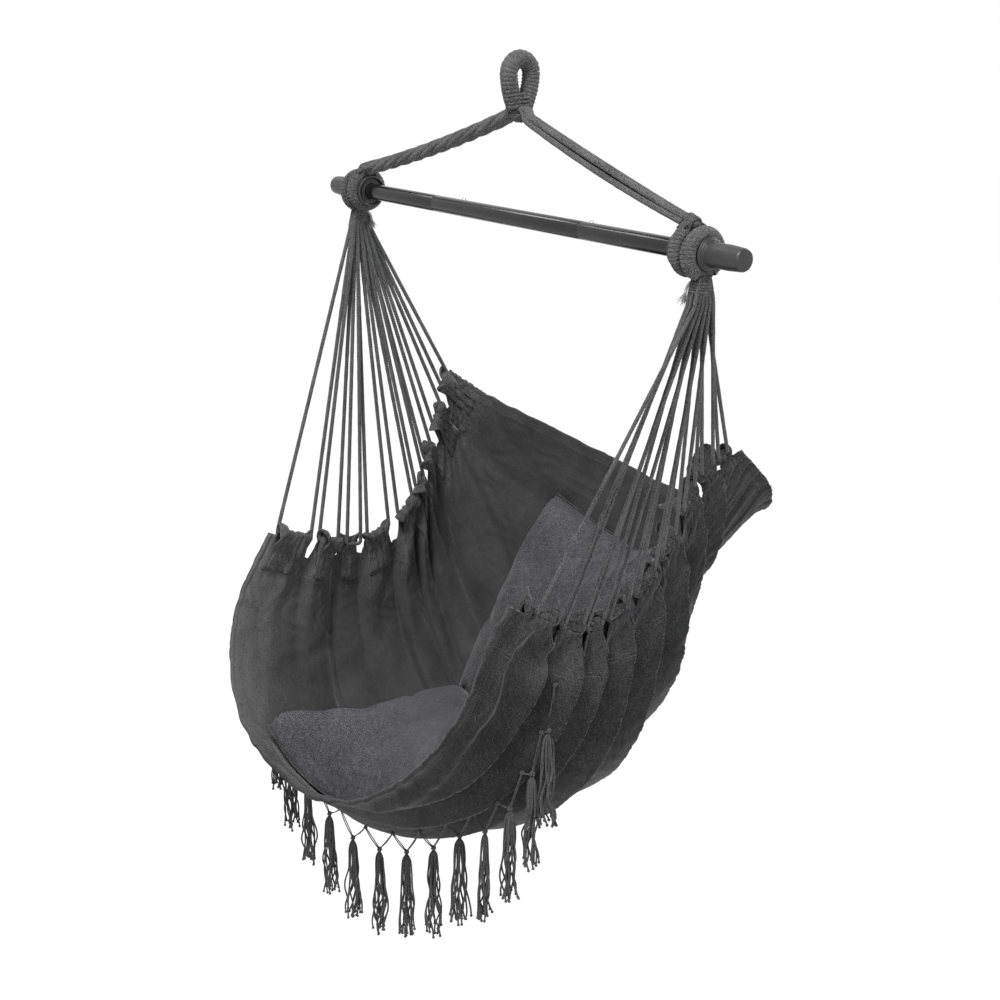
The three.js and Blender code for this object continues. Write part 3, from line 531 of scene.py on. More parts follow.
class Shape:
    """Places, faces and texture lengths gathered for one piece."""

    def __init__(self):
        self.places, self.faces, self.uvs, self.count = [], [], [], 0

    def add(self, places, faces, uvs=None):
        places = np.asarray(places, float).reshape(-1, 3)
        self.places.append(places)
        self.faces.extend([[v + self.count for v in face] for face in faces])
        uvs = np.zeros((len(places), 2)) if uvs is None else uvs
        self.uvs.append(np.asarray(uvs).reshape(-1, 2))
        self.count += len(places)

    def tube(self, line, radii, sides=12, closed=False):
        """A tube along a line. radii is one number, one for each place, or an array of
        places by sides."""
        out, up = steady_frames(line, closed)
        radii = np.asarray(radii, float)
        radii = radii.reshape(-1, 1) if radii.ndim < 2 else radii
        radii = np.broadcast_to(radii, (len(line), sides))
        angles = FULL_TURN * np.arange(sides) / sides
        spokes = out[:, None] * np.cos(angles)[:, None] + up[:, None] * np.sin(angles)[:, None]
        rings = line[:, None] + spokes * radii[..., None]
        self.sweep(rings, lengths_along(line), float(np.mean(radii)), closed)

    def sweep(self, rings, reach, radius, closed=False):
        """A skin over rings of places, closed at its ends unless it runs round."""
        n, sides = rings.shape[:2]
        around = (np.arange(sides) / sides)[None] * FULL_TURN * radius
        uv = np.stack(np.broadcast_arrays(around, np.asarray(reach)[:, None]), -1)
        faces = grid_faces(n, sides, wrap=True)
        last = (n - 1) * sides
        if closed:
            faces += [[last + j, last + (j + 1) % sides, (j + 1) % sides, j] for j in range(sides)]
        else:
            faces += [list(range(sides))[::-1], list(range(last, n * sides))]
        self.add(rings, faces, uv)

    def rope(self, line, radius, pitch, step=0.0022, ply=3, lobe=0.16, sides=12, hand=1,
             closed=False):
        """A laid rope: its section has a lobe for each ply, and turns once in each pitch."""
        line = spaced(line, step)
        reach = lengths_along(line)
        angles = FULL_TURN * np.arange(sides) / sides
        phase = hand * FULL_TURN * reach / pitch
        wave = np.abs(np.cos(ply / 2 * (angles[None, :] - phase[:, None])))
        fat = 1 + LAY_UNEVEN * ripple(reach / 0.02, int(abs(line[0].sum()) * 1e5) % 9973)
        radii = radius * fat[:, None] * (1 - lobe + lobe * wave) / LAY_SHRINK
        self.tube(line, radii, sides, closed)

    def lathe(self, profile, centre=(0, 0, 0), sides=96, axes=(Y, UP, X)):
        """A profile of [radius, along] pairs turned about the last of the axes."""
        profile = np.asarray(profile, float)
        angles = FULL_TURN * np.arange(sides) / sides
        radius, along = profile[:, 0][:, None], profile[:, 1][:, None] + 0 * angles
        places = sum(np.multiply.outer(amount, np.asarray(axis)) for amount, axis in zip(
            (radius * np.cos(angles), radius * np.sin(angles), along), axes))
        around = angles[None] * profile[:, 0].max()
        uv = np.broadcast_arrays(around, lengths_along(profile)[:, None])
        faces = grid_faces(len(profile), sides, wrap=True)
        self.add(places + np.asarray(centre), faces, np.stack(uv, -1))

    def make(self, name, material, body, node=None, bend=None):
        """The Blender piece, riding on its body, or, when a bend is given, left free of any body
        with its place baked in; in place of the CAD's node if one is given."""
        mesh = bpy.data.meshes.new(name)
        mesh.from_pydata((np.concatenate(self.places) + BAR).tolist(), [], self.faces)
        mesh.validate()
        layer = mesh.uv_layers.new(name="metres")
        corner = np.zeros(len(mesh.loops), np.int32)
        mesh.loops.foreach_get("vertex_index", corner)
        layer.data.foreach_set("uv", np.concatenate(self.uvs)[corner].astype(np.float32).ravel())
        mesh.polygons.foreach_set("use_smooth", [True] * len(mesh.polygons))
        piece = bpy.data.objects.new(name, mesh)
        bpy.context.scene.collection.objects.link(piece)
        bm = bmesh.new()
        bm.from_mesh(mesh)
        bmesh.ops.recalc_face_normals(bm, faces=bm.faces)
        bm.to_mesh(mesh)
        bm.free()
        mesh.materials.append(material)
        if bend is None:
            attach(piece, body)
        else:
            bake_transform(piece)
        if node is not None:
            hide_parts(node)
        return piece


def wear(piece, grain=None, pale_and_painted_light=None):
    """How strong the cloth's grain is and how much paleness is added at each vertex, for its
    material: weaker grain is painted shade, and added paleness is painted light. Vertices past the
    given values have full grain and the plain paleness."""
    for name, values, rest in (("grain_and_painted_shade", grain, 1.0), ("pale_and_painted_light", pale_and_painted_light, PALE_PLAIN)):
        full = np.full(len(piece.data.vertices), rest, np.float32)
        if values is not None:
            full[:len(values)] = values
        piece.data.attributes.new(name, "FLOAT", "POINT").data.foreach_set("value", full)


def bevelled(profile, radius, steps=4):
    """A profile with its inner corners rounded."""
    profile = np.asarray(profile, float)
    out = [profile[0]]
    for before, corner, after in zip(profile[:-2], profile[1:-1], profile[2:]):
        back, onwards = before - corner, after - corner
        size = min(radius, 0.45 * np.linalg.norm(back), 0.45 * np.linalg.norm(onwards))
        out += curve(corner + size * unit(back), corner, corner + size * unit(onwards), steps)
    return np.array(out + [profile[-1]])


# Camera, materials and light
def make_camera():
    data = bpy.data.cameras.new("camera")
    data.lens = CAMERA_LENS
    data.sensor_width = CAMERA_SENSOR
    data.clip_start, data.clip_end = CAMERA_CLIP
    camera = bpy.data.objects.new("camera", data)
    ahead, up = Vector(CAMERA_AHEAD).normalized(), Vector(CAMERA_UP)
    right = ahead.cross(up).normalized()
    turned = Matrix((right, right.cross(ahead), -ahead)).transposed()
    camera.matrix_world = Matrix.Translation(CAMERA_PLACE) @ turned.to_4x4()
    bpy.context.scene.collection.objects.link(camera)
    bpy.context.scene.camera = camera


class Nodes:
    """The node tree of a material or world, with short calls to build it."""

    def __init__(self, owner):
        owner.use_nodes = True
        self.owner, self.tree = owner, owner.node_tree
        self.shader = self.tree.nodes.get("Principled BSDF")

    def feed(self, sockets, inputs):
        """Gives each named input a plain value or another node's output."""
        for key, value in inputs.items():
            if isinstance(value, bpy.types.NodeSocket):
                self.tree.links.new(value, sockets[key])
            else:
                sockets[key].default_value = value

    def node(self, kind, inputs, **settings):
        node = self.tree.nodes.new("ShaderNode" + kind)
        for key, value in settings.items():
            setattr(node, key, value)
        self.feed(node.inputs, inputs)
        return node.outputs

    def shade(self, **inputs):
        """Sets the shader's own inputs, with _ for a space in their names."""
        self.feed(self.shader.inputs, {key.replace("_", " "): v for key, v in inputs.items()})
        return self.owner

    def math(self, operation, a, b):
        return self.node("Math", {0: a, 1: b}, operation=operation)[0]

    def add(self, total, *others):
        for other in others:
            total = self.math("ADD", total, other)
        return total

    def times(self, total, *others):
        for other in others:
            total = self.math("MULTIPLY", total, other)
        return total

    def less(self, a, b):
        return self.math("SUBTRACT", a, b)

    def wave(self, length, pitch):
        return self.math("SINE", self.times(length, FULL_TURN / pitch), 0.0)

    def place(self):
        return self.node("TexCoord", {})["Object"]

    def lengths(self):
        return self.node("UVMap", {}, uv_map="metres")[0]

    def painted_on(self, name):
        return self.node("Attribute", {}, attribute_name=name)["Fac"]

    def noise(self, vector, scale, detail=2.0, rough=0.5):
        inputs = {"Vector": vector, "Scale": scale, "Detail": detail, "Roughness": rough}
        return self.node("TexNoise", inputs)["Fac"]

    def mapped(self, vector, scale, turn=0.0):
        inputs = {"Vector": vector, "Scale": scale, "Rotation": (0, 0, turn)}
        return self.node("Mapping", inputs)[0]

    def ramp(self, factor, low, high, dark, light):
        output = self.node("ValToRGB", {0: factor})[0]
        ends = zip(output.node.color_ramp.elements, (low, high), (dark, light))
        for element, position, colour in ends:
            element.position, element.color = position, (*colour, 1)
        return output

    def bump(self, height, strength, distance, **before):
        inputs = {"Height": height, "Strength": strength, "Distance": distance}
        return self.node("Bump", {**inputs, **before})[0]

    def background_rays(self):
        """One for rays that show the background: those of the camera, of gloss and of glass."""
        path = self.node("LightPath", {})
        shown = self.math("MAXIMUM", path["Is Camera Ray"], path["Is Glossy Ray"])
        return self.math("MAXIMUM", shown, path["Is Transmission Ray"])


def add_lamp(name, place, target, size, power):
    data = bpy.data.lights.new(name, "AREA")
    data.shape = "DISK"
    data.size = size
    data.energy = power
    lamp = bpy.data.objects.new(name, data)
    lamp.location = place
    lamp.rotation_mode = "QUATERNION"
    lamp.rotation_quaternion = (Vector(target) - Vector(place)).to_track_quat("-Z", "Y")
    bpy.context.scene.collection.objects.link(lamp)


def make_world():
    n = Nodes(bpy.data.worlds.new("studio"))
    n.tree.nodes.clear()
    glow = n.node("Background", {"Color": WHITE, "Strength": WORLD_GLOW})[0]
    seen = n.node("Background", {"Color": WHITE, "Strength": 1})[0]
    mixed = n.node("MixShader", {0: n.background_rays(), 1: glow, 2: seen})[0]
    n.node("OutputWorld", {"Surface": mixed})
    bpy.context.scene.world = n.owner


def make_floor():
    z = cad_box[0][2] - FLOOR_DROP
    far = FLOOR_REACH
    corners = [(-far, -far, z), (far, -far, z), (far, far, z), (-far, far, z)]
    mesh = bpy.data.meshes.new("floor")
    mesh.from_pydata(corners, [], [(0, 1, 2, 3)])
    floor = bpy.data.objects.new("floor", mesh)
    bpy.context.scene.collection.objects.link(floor)
    n = Nodes(bpy.data.materials.new("pale_floor"))
    mesh.materials.append(n.shade(Roughness=0.9, Base_Color=FLOOR_COLOUR))
    white = n.node("Emission", {"Strength": FLOOR_WHITE})[0]
    share = n.times(n.background_rays(), FLOOR_WHITE_SHARE)
    blend = n.node("MixShader", {0: share, 1: n.shader.outputs[0], 2: white})[0]
    n.feed(n.tree.nodes["Material Output"].inputs, {"Surface": blend})


bpy.context.scene.view_settings.view_transform = "Standard"
make_camera()
make_world()
for lamp in LAMPS:
    add_lamp(*lamp)
make_floor()


def woven(name, dark, light, thread, slub, speckle, sheen):
    """Plain-woven cotton: warp and weft of one thread's width, slubs along both, specks of paler
    fibre, and broad patches where the cloth is paler with wear. The grain's strength follows a
    vertex attribute that is lowered as painted shade, and a second attribute adds paleness as
    painted light."""
    n = Nodes(bpy.data.materials.new(name))
    uv, place = n.lengths(), n.place()
    split = n.node("SeparateXYZ", {0: uv})
    wobble = n.times(n.less(n.noise(uv, 60), 0.5), 0.0016)
    weave = n.times(*(n.wave(n.add(split[k], wobble), thread) for k in range(2)))
    slubs = n.add(*(n.noise(n.mapped(uv, scale), 1) for scale in ((70, 620, 1), (620, 70, 1))))
    specks = n.less(n.noise(place, 760, 1, 0.7), 0.5)
    broad = n.noise(place, 12, 3, 0.6)
    # Painted shade: the grain is scaled by a vertex attribute that is low on the shaded inner face
    # of the sling.
    grain_and_painted_shade = n.painted_on("grain_and_painted_shade")
    slubbed, speckled = n.times(n.less(slubs, 1.0), slub), n.times(specks, speckle)
    grain = n.add(n.times(weave, 0.04), slubbed, speckled)
    # Painted light: a vertex attribute adds paleness to the shaded and the highlighted parts of
    # the sling.
    tone = n.add(n.times(grain, grain_and_painted_shade), n.times(n.less(broad, 0.5), 0.2), n.painted_on("pale_and_painted_light"))
    height = n.add(n.times(weave, 0.3), n.times(slubs, 0.8), n.times(specks, grain_and_painted_shade, 1.6))
    normal = n.bump(height, 0.45, 0.0006, Normal=n.bump(broad, 0.3, 0.004))
    return n.shade(Base_Color=n.ramp(tone, -0.2, 0.4, dark, light), Normal=normal, Roughness=0.95,
                   Specular_IOR_Level=0.08, Sheen_Weight=sheen, Sheen_Roughness=0.32)


def roped(name, dark, light):
    """Cotton rope: fibres that run round with the lay, fuzz and pale specks."""
    n = Nodes(bpy.data.materials.new(name))
    place = n.place()
    fibres = n.noise(n.mapped(n.lengths(), (2200, 260, 1), 0.6), 1, 2, 0.6)
    fuzz = n.noise(place, 640, 1, 0.7)
    tone = n.add(n.times(fibres, 0.6), n.times(fuzz, 0.9), n.times(n.noise(place, 22, 3), 0.25))
    return n.shade(Base_Color=n.ramp(tone, 0.68, 1.08, dark, light), Roughness=0.96,
                   Normal=n.bump(n.add(fibres, fuzz), 0.9, 0.0009),
                   Specular_IOR_Level=0.08, Sheen_Weight=0.15, Sheen_Roughness=0.45)


def painted(name, colour, roughness, specular, grain, wear):
    """Gloss paint or moulded plastic with a faint orange peel and rubbed places."""
    n = Nodes(bpy.data.materials.new(name))
    place = n.place()
    broad = n.noise(place, 35, 4, 0.65)
    rubbed = tuple(c * wear + 0.004 for c in colour)
    return n.shade(Base_Color=n.ramp(broad, 0.35, 0.7, colour, rubbed),
                   Roughness=n.add(n.times(broad, 0.14), roughness - 0.07),
                   Normal=n.bump(n.noise(place, grain, 3), 0.12, 0.0003),
                   Specular_IOR_Level=specular)


def brushed(name, dark, light):
    """Bare steel with fine lines across the bar."""
    n = Nodes(bpy.data.materials.new(name))
    lines = n.noise(n.mapped(n.place(), (4000, 200, 200)), 1, 3)
    return n.shade(Base_Color=n.ramp(lines, 0.3, 0.7, dark, light), Roughness=0.3, Metallic=1.0,
                   Normal=n.bump(lines, 0.2, 0.0002))


ROPE = roped("grey_cotton_rope", (0.016, 0.016, 0.017), (0.16, 0.16, 0.163))
THREAD = roped("grey_cotton_thread", (0.016, 0.016, 0.017), (0.13, 0.13, 0.133))
STITCH = roped("pale_stitching", (0.04, 0.04, 0.04), (0.17, 0.17, 0.17))
TAIL = roped("frayed_pale_cotton", (0.16, 0.16, 0.16), (0.6, 0.6, 0.6))
SLING_CLOTH = woven(
    "grey_canvas", (0.022, 0.022, 0.023), (0.15, 0.15, 0.153), 0.0011, 0.35, 0.85, 0.3)
CUSHION_CLOTH = woven(
    "grey_cushion_cotton", (0.04, 0.039, 0.0445), (0.24, 0.235, 0.256), 0.0009, 0.25, 0.95, 0.25)
STEEL = painted("black_gloss_paint", (0.008, 0.008, 0.009), 0.17, 0.36, 700, 1.3)
PLASTIC = painted("black_moulded_plastic", (0.018, 0.018, 0.019), 0.42, 0.5, 1600, 1.5)
BRIGHT = brushed("brushed_spring_steel", (0.3, 0.3, 0.31), (0.55, 0.55, 0.56))


# The sling's smooth middle surface
def through(rows, t):
    """A smooth line through rows of shares, read at t from 0 to 1."""
    rows = np.array(rows, float) * SLING_SIZE
    steps = len(rows) - 1
    rows = np.vstack([2 * rows[0] - rows[1], rows, 2 * rows[-1] - rows[-2]])
    place = np.clip(t, 0, 1) * steps
    index = np.minimum(place.astype(int), steps - 1)
    k = (place - index)[..., None]
    p, q, r, s = (rows[index + i] for i in range(4))
    square, cube = 2 * p - 5 * q + 4 * r - s, 3 * q - p - 3 * r + s
    return 0.5 * (2 * q + (r - p) * k + square * k ** 2 + cube * k ** 3)


def sling_place(across, along):
    """Where the cloth is, by its shares across from the left and along from the front."""
    across, along = np.broadcast_arrays(np.asarray(across, float), np.asarray(along, float))
    left = (across < 0.5)[..., None]

    def either(tables):
        return np.where(left, through(tables[-1], along), through(tables[1], along))

    edge, middle = either(EDGES), through(MIDDLE, along)
    edge_handle, middle_handle = edge + either(EDGE_HANDLES), middle + either(MIDDLE_HANDLES)
    t = np.where(left, 2 * across[..., None], 2 - 2 * across[..., None])
    s = 1 - t
    return (edge * s ** 3 + edge_handle * 3 * t * s ** 2 + middle_handle * 3 * t ** 2 * s
            + middle * t ** 3)


def trimmed(across, along):
    """How far the near side of the cloth sits inside the solid, where it hangs straighter."""
    near = TRIM * smooth(0.4, 0.7, across) * (1 - smooth(0.93, 1, across))
    return near * smooth(0.35, 0.6, along) * (1 - smooth(0.8, 0.97, along))


def sling_inward(across, along, step=0.004):
    """The direction from the cloth to the seat's inside."""
    low, high = np.clip((across - step, across + step), 0, 1)
    sideways = sling_place(high, along) - sling_place(low, along)
    low, high = np.clip((along - step, along + step), 0, 1)
    onwards = sling_place(across, high) - sling_place(across, low)
    return unit(np.cross(sideways, onwards))


# Fan cords
def fan_corners(side, index):
    """The two places on the hem where a fan cord goes into its sleeve and comes out."""
    shares = SPANS[side][index]
    across = (side + 1) / 2
    edges = [sling_place(across, along) for along in shares]
    corners = []
    for i, along in enumerate(shares):
        hem = unit(edges[1 - i] - edges[i])
        out = edges[i] - sling_place(abs(across - HEM_SHARE), along)
        out = unit(out - hem * (out @ hem))
        corners.append(edges[i] + out * (FAN_CORD_RADIUS + CORD_SEAT))
    return corners


def fan_bend(before, corner, after):
    back, onwards = unit(before - corner), unit(after - corner)
    angle = math.acos(np.clip(back @ onwards, -1, 1))
    reach = FAN_BEND_RADIUS / math.tan(angle / 2)
    return curve(corner + back * reach, corner, corner + onwards * reach, 8)


def fan_leg(side, number):
    """One of the 18 legs, from the ring's underside to just below the bundle."""
    column, row = number // 3, number % 3
    middle = side * OUTER_RING_X * X
    aside = np.array([side * (1 - row) * FAN_ROW_PITCH, (column - 2.5) * FAN_TOP_PITCH, 0])
    top = middle + aside + UP * (FAN_TOP_Z - FIT)
    bundled = middle + aside * FAN_BUNDLE + UP * (top[2] + 0.5 * FAN_NECK)
    root = middle + aside * FAN_ROOT + UP * (RING_FOOT_Z - FAN_ROOT_DROP)
    return rounded([root, bundled, top, top - UP * 2 * FAN_CORD_RADIUS], FAN_STEP, 12)


def fan_line(side, index):
    """From the ring's underside down one leg, along inside the hem, and up the other leg."""
    into, back = fan_corners(side, index)
    head, tail = fan_leg(side, 2 * index), fan_leg(side, 2 * index + 1)[::-1]
    run = fan_bend(head[-1], into, back) + fan_bend(into, back, tail[0])
    line = np.vstack([head, run, tail])
    reach = lengths_along(line)
    slack = smooth(0, FAN_SLACK_REACH, reach) * smooth(0, FAN_SLACK_REACH, reach[-1] - reach)
    free = np.minimum(1, np.abs(line[:, 2] - line[:, 2].min()) / FAN_SLACK_REACH)
    for k in range(2):
        seed = 10 * index + k + 200 + side
        line[:, k] += free * slack * FAN_SLACK * ripple(lengths_along(line) / FAN_SLACK_WAVE, seed)
    return line


def make_fan_cords():
    for word, side in SIDES.items():
        for index in range(len(SPANS[side])):
            shape = Shape()
            hand = 1 if index % 2 else -1
            shape.rope(fan_line(side, index), FAN_ROPE_RADIUS[side], hand=hand, **FAN_LAY)
            name = f"{word}_fan_cord_{index + 1}"
            shape.make(name + "_rope", ROPE, "hammock", name)


# Suspension strands
def strand_frame(side):
    """A strand's end at the ring, its direction from the neck and two square to it."""
    end = np.array([side * INNER_RING_X, 0, LASHING_Z])
    ahead = unit(end - NECK_JOINT)
    up = unit(np.cross(ahead, Y))
    return end, ahead, Y, up if up[2] > 0 else -up


def strand_place(side, share, out, lift):
    """Places along a strand, off its middle by out and lift."""
    end, ahead, across, up = strand_frame(side)
    reach = np.linalg.norm(end - NECK_JOINT) - LASHING_LENGTH / 2 - 2 * FIT
    along = STRAND_START + (reach - STRAND_START) * share
    place = NECK_JOINT + ahead * along[:, None] + across * out[:, None] + up * lift[:, None]
    place[:, 2] -= STRAND_SAG * 4 * share * (1 - share)
    return place


def strand_head(side, first):
    """Places that carry a cord on from the start of the strand, up over the neck's cup."""
    across = (first - NECK_JOINT)[1]
    places = []
    for angle in STRAND_HEAD_ANGLES:
        radius = STRAND_HEAD_RADIUS - STRAND_HEAD_DROP * smooth(0.1, 0.75, angle)
        flat = math.sqrt(radius ** 2 - across ** 2)
        offset = [side * flat * math.cos(angle), across, flat * math.sin(angle)]
        places.append(NECK_JOINT + np.array(offset))
    return np.array(places)


def strand_line(side, index):
    """A cord of a strand: laid round the left one, beside the others in the right one."""
    shares = np.linspace(0, 1, 120)
    if side < 0:
        laid = STRAND_TURNS * np.clip(shares, 1 / 21, 20 / 21)
        angle = FULL_TURN * (laid + index / STRAND_CORDS)
        out, lift = STRAND_LAY_RADIUS * np.cos(angle), STRAND_LAY_RADIUS * np.sin(angle)
    else:
        pitch = 2 * STRAND_CORD_RADIUS + FIT
        upper = index > 2
        out = (index - (3.5 if upper else 1)) * pitch + 0 * shares
        lift = (0.5 if upper else -0.5) * pitch * math.sin(math.pi / 3)
        lift = lift + upper * STRAND_SPREAD * np.sin(math.pi * shares)
    line = strand_place(side, shares, out, lift)
    return rounded(np.vstack([strand_head(side, line[0]), line[3:]]), STRAND_STEP, 4)


def make_strands():
    for word, side in SIDES.items():
        ahead = strand_frame(side)[1]
        bend = [NECK_JOINT + ahead * reach for reach in (NECK_CUP_RADIUS, STRAND_BEND)]
        for index in range(STRAND_CORDS):
            shape = Shape()
            shape.rope(strand_line(side, index), STRAND_ROPE_RADIUS[side], **STRAND_LAY)
            name = f"{word}_strand_cord_{index + 1}"
            shape.make(name + "_rope", ROPE, ("neck", "yoke"), name, bend)


# Served rope
def served(shape, line_of, core, turns, cord, seed):
    """A winding of one cord round a line given as places and two directions square to it.
    The cord is pressed flat on the core, and as wide as the room between its turns."""
    each, sides = 48, 12
    high_half = SERVED_HIGH * cord
    t, angle = wound(turns, each)
    place, out, side = line_of(t)
    spoke = out * np.cos(angle)[:, None] + side * np.sin(angle)[:, None]
    height = core + 2 * cord - high_half + SERVED_UNEVEN * ripple(t * turns, seed)
    line = place + spoke * height[:, None]
    along = np.cross(unit(np.gradient(line, axis=0)), spoke)
    pitch = np.linalg.norm(line[each:] - line[:-each], axis=1)
    pitch = np.concatenate([pitch, pitch[-each:]])
    wide = np.clip(SERVED_FILL * pitch, SERVED_WIDE[0] * cord, SERVED_WIDE[1] * cord)
    around = FULL_TURN * np.arange(sides) / sides
    reach = lengths_along(line)
    fat = 0.92 + 0.08 * np.abs(np.cos(around[None] - math.pi * reach[:, None] / SERVED_LAY))
    high = (high_half * fat * np.cos(around)[None])[..., None] * spoke[:, None]
    broad = (wide[:, None] * fat * np.sin(around)[None])[..., None] * along[:, None]
    shape.sweep(line[:, None] + high + broad, reach, cord)


def ring_line(x, z, first):
    """The served part of a ring, from the angle first on."""
    def line(t):
        angle = first + (FULL_TURN - RING_SERVED) / 2 + t * RING_SERVED
        out = np.stack([0 * angle, np.sin(angle), np.cos(angle)], -1)
        return out * RING_RADIUS + np.array([x, 0, z]), out, np.broadcast_to(X, out.shape)
    return line


def add_binding(shape, side):
    """Turns of cord that bind the heads of the fan cords just under the outer ring."""
    middle = side * OUTER_RING_X * X
    t, angle = wound(4, 30)
    wide, deep = (start + gain * t for start, gain in (BINDING_WIDE, BINDING_DEEP))
    z = RING_FOOT_Z - BINDING_DROP[0] - BINDING_DROP[1] * t
    line = about(middle, X, wide * np.cos(angle), Y, deep * np.sin(angle), z)
    shape.rope(line, BINDING_CORD, step=0.0015, **THIN_CORD)
    top = middle + UP * (RING_FOOT_Z - BINDING_TOP)
    shape.lathe(BINDING_CORE * BINDING_CORE_PROFILE, top, 24, (X, Y, UP))


def make_rings():
    core = RING_REACH - 2 * SERVING_RADIUS
    angles = np.linspace(0, FULL_TURN, 97)[:-1]
    circle = np.stack([0 * angles, RING_RADIUS * np.sin(angles), RING_RADIUS * np.cos(angles)], -1)
    kinds = (("inner", "yoke", INNER_RING_X, RING_SLACK, 0),
             ("outer", "hammock", OUTER_RING_X, -RING_SLACK, math.pi))
    for word, side in SIDES.items():
        for kind, body, x, z, first in kinds:
            shape = Shape()
            shape.tube(circle + np.array([side * x, 0, z]), core, 16, closed=True)
            if kind == "outer":
                add_binding(shape, side)
            name = f"{word}_{kind}_ring"
            shape.make(name + "_core", ROPE, body, name)
            shape = Shape()
            line = ring_line(side * x, z, first)
            served(shape, line, core, RING_TURNS, SERVING_RADIUS, 5 + side)
            name = f"{word}_{kind}_serving"
            shape.make(name + "_cord", ROPE, body, name)


def make_lashings():
    for word, side in SIDES.items():
        end, ahead, across, up = strand_frame(side)
        shape = Shape()
        t, angle = wound(6, 28)
        radius = LASHING_RADIUS - SERVING_RADIUS - LASHING_INSIDE
        radius = radius + LASHING_UNEVEN * ripple(t * 5, 3)
        along = (t - 0.5) * (LASHING_LENGTH - 2 * SERVING_RADIUS)
        middle = end + ahead * along[:, None]
        line = about(middle, across, radius * np.cos(angle), up, radius * np.sin(angle))
        shape.rope(line, SERVING_RADIUS, step=0.0014, **THIN_CORD)
        core = end + ahead * np.linspace(-0.48, 0.48, 12)[:, None] * LASHING_LENGTH
        swell = np.sin(np.linspace(0.5, math.pi - 0.5, 12)) ** 0.4
        shape.tube(core, (LASHING_RADIUS - 2 * SERVING_RADIUS) * swell, 18)
        angle = 0.55 * np.linspace(-1.15, 1.15, 40)
        out = np.stack([0 * angle, np.sin(angle), np.cos(angle)], -1)
        arc = out * (RING_RADIUS + RING_REACH - 0.001) + UP * RING_SLACK
        for k in (-1, 0, 1):
            x = side * (INNER_RING_X - 0.001 + k * LASHING_PITCH)
            shape.rope(arc + x * X, SERVING_RADIUS, step=0.0015, **THIN_CORD)
        name = f"{word}_lashing"
        shape.make(name + "_cord", ROPE, "yoke", name)


# Hanging loop
def loop_line(t):
    """The loop's line from one leg's foot, over the arch, to the other's."""
    side = np.where(t < 0.5, -1.0, 1.0)
    from_end = np.where(t < 0.5, t, 1 - t)
    k = np.clip(from_end / LEG_SHARE, 0, 1)
    leg_y = NECK_HALF_GAP + (ARCH_RADIUS - NECK_HALF_GAP) * np.sin(k * math.pi / 2)
    leg_z = NECK_Z + (ARCH_Z - NECK_Z) * k
    angle = np.clip((from_end - LEG_SHARE) / (0.5 - LEG_SHARE), 0, 1) * math.pi / 2
    in_leg = from_end < LEG_SHARE
    y = np.where(in_leg, leg_y, ARCH_RADIUS * np.cos(angle))
    z = np.where(in_leg, leg_z, ARCH_Z + ARCH_RADIUS * np.sin(angle))
    return np.stack([HOOK_X + 0 * t, side * y, z], -1)


def loop_frame(t, step=0.004):
    ahead = unit(loop_line(np.clip(t + step, 0, 1)) - loop_line(np.clip(t - step, 0, 1)))
    side = np.broadcast_to(X, ahead.shape)
    return loop_line(t), np.cross(ahead, side), side


def add_loop_foot(shape):
    """Turns that bind both legs of the loop together just above the neck."""
    t, angle = wound(4, 48)
    wide = FOOT_WIDE - FOOT_WAIST * np.cos(FULL_TURN * t)
    middle = np.array([HOOK_X, 0, FOOT_Z])
    line = about(middle, X, FOOT_DEEP * np.cos(angle), Y, wide * np.sin(angle), FOOT_HEIGHT * t)
    shape.rope(line, LOOP_CORD_RADIUS, **FOOT_LAY)


def make_loop():
    core = LOOP_REACH - 2 * LOOP_CORD_RADIUS - 0.0002
    shape = Shape()
    shape.tube(loop_line(np.linspace(0.0, 1.0, 90)), core, 18)
    shape.lathe(NECK_PROFILE, NECK_JOINT, 32, (X, Y, UP))
    shape.make("loop_core_rope", ROPE, "hanging_loop", "loop_core")
    shape = Shape()
    served(shape, loop_frame, core, LOOP_TURNS, LOOP_CORD_RADIUS, 9)
    add_loop_foot(shape)
    shape.make("loop_serving_cord", ROPE, "hanging_loop", "loop_serving")


def make_whipping():
    """The cord wound round the neck's cup, and the cup behind it."""
    t, angle = wound(6, 36)
    latitude = WHIPPING_LATITUDES[0] + t * WHIPPING_LATITUDES[1]
    radius = NECK_CUP_RADIUS - SERVING_RADIUS
    wide = radius * np.sin(latitude)
    line = about(NECK_JOINT, X, wide * np.cos(angle), Y, wide * np.sin(angle),
                 -radius * np.cos(latitude))
    shape = Shape()
    shape.rope(line, SERVING_RADIUS, step=0.0014, **THIN_CORD)
    shape.lathe(CUP_PROFILE * (radius - CUP_INSIDE), NECK_JOINT, 40, (X, Y, UP))
    shape.make("neck_whipping_cord", ROPE, "neck", "neck_whipping")


# Bar, collars, caps and buttons
def make_bar():
    bore = TUBE_RADIUS - TUBE_WALL
    insert = bore - FIT
    end = CAP_X + CAP_LENGTH - CAP_WALL - FIT
    starts = (-end, LEFT_SEAM_X + FIT, RIGHT_SEAM_X + FIT)
    ends = (LEFT_SEAM_X, RIGHT_SEAM_X, end)
    for name, a, b in zip(("left_tube", "middle_tube", "right_tube"), starts, ends):
        sleeves = [(bore, TUBE_RADIUS, a, b)]
        if name != "right_tube":
            sleeves.append((insert - TUBE_WALL, insert, b - INSERT_LAP, b + INSERT_LENGTH))
        shape = Shape()
        for r, s, a, b in sleeves:
            shape.lathe(bevelled([[r, a], [s, a], [s, b], [r, b], [r, a]], TUBE_LIP), sides=72)
        shape.make(name + "_paint", STEEL, "yoke", name)


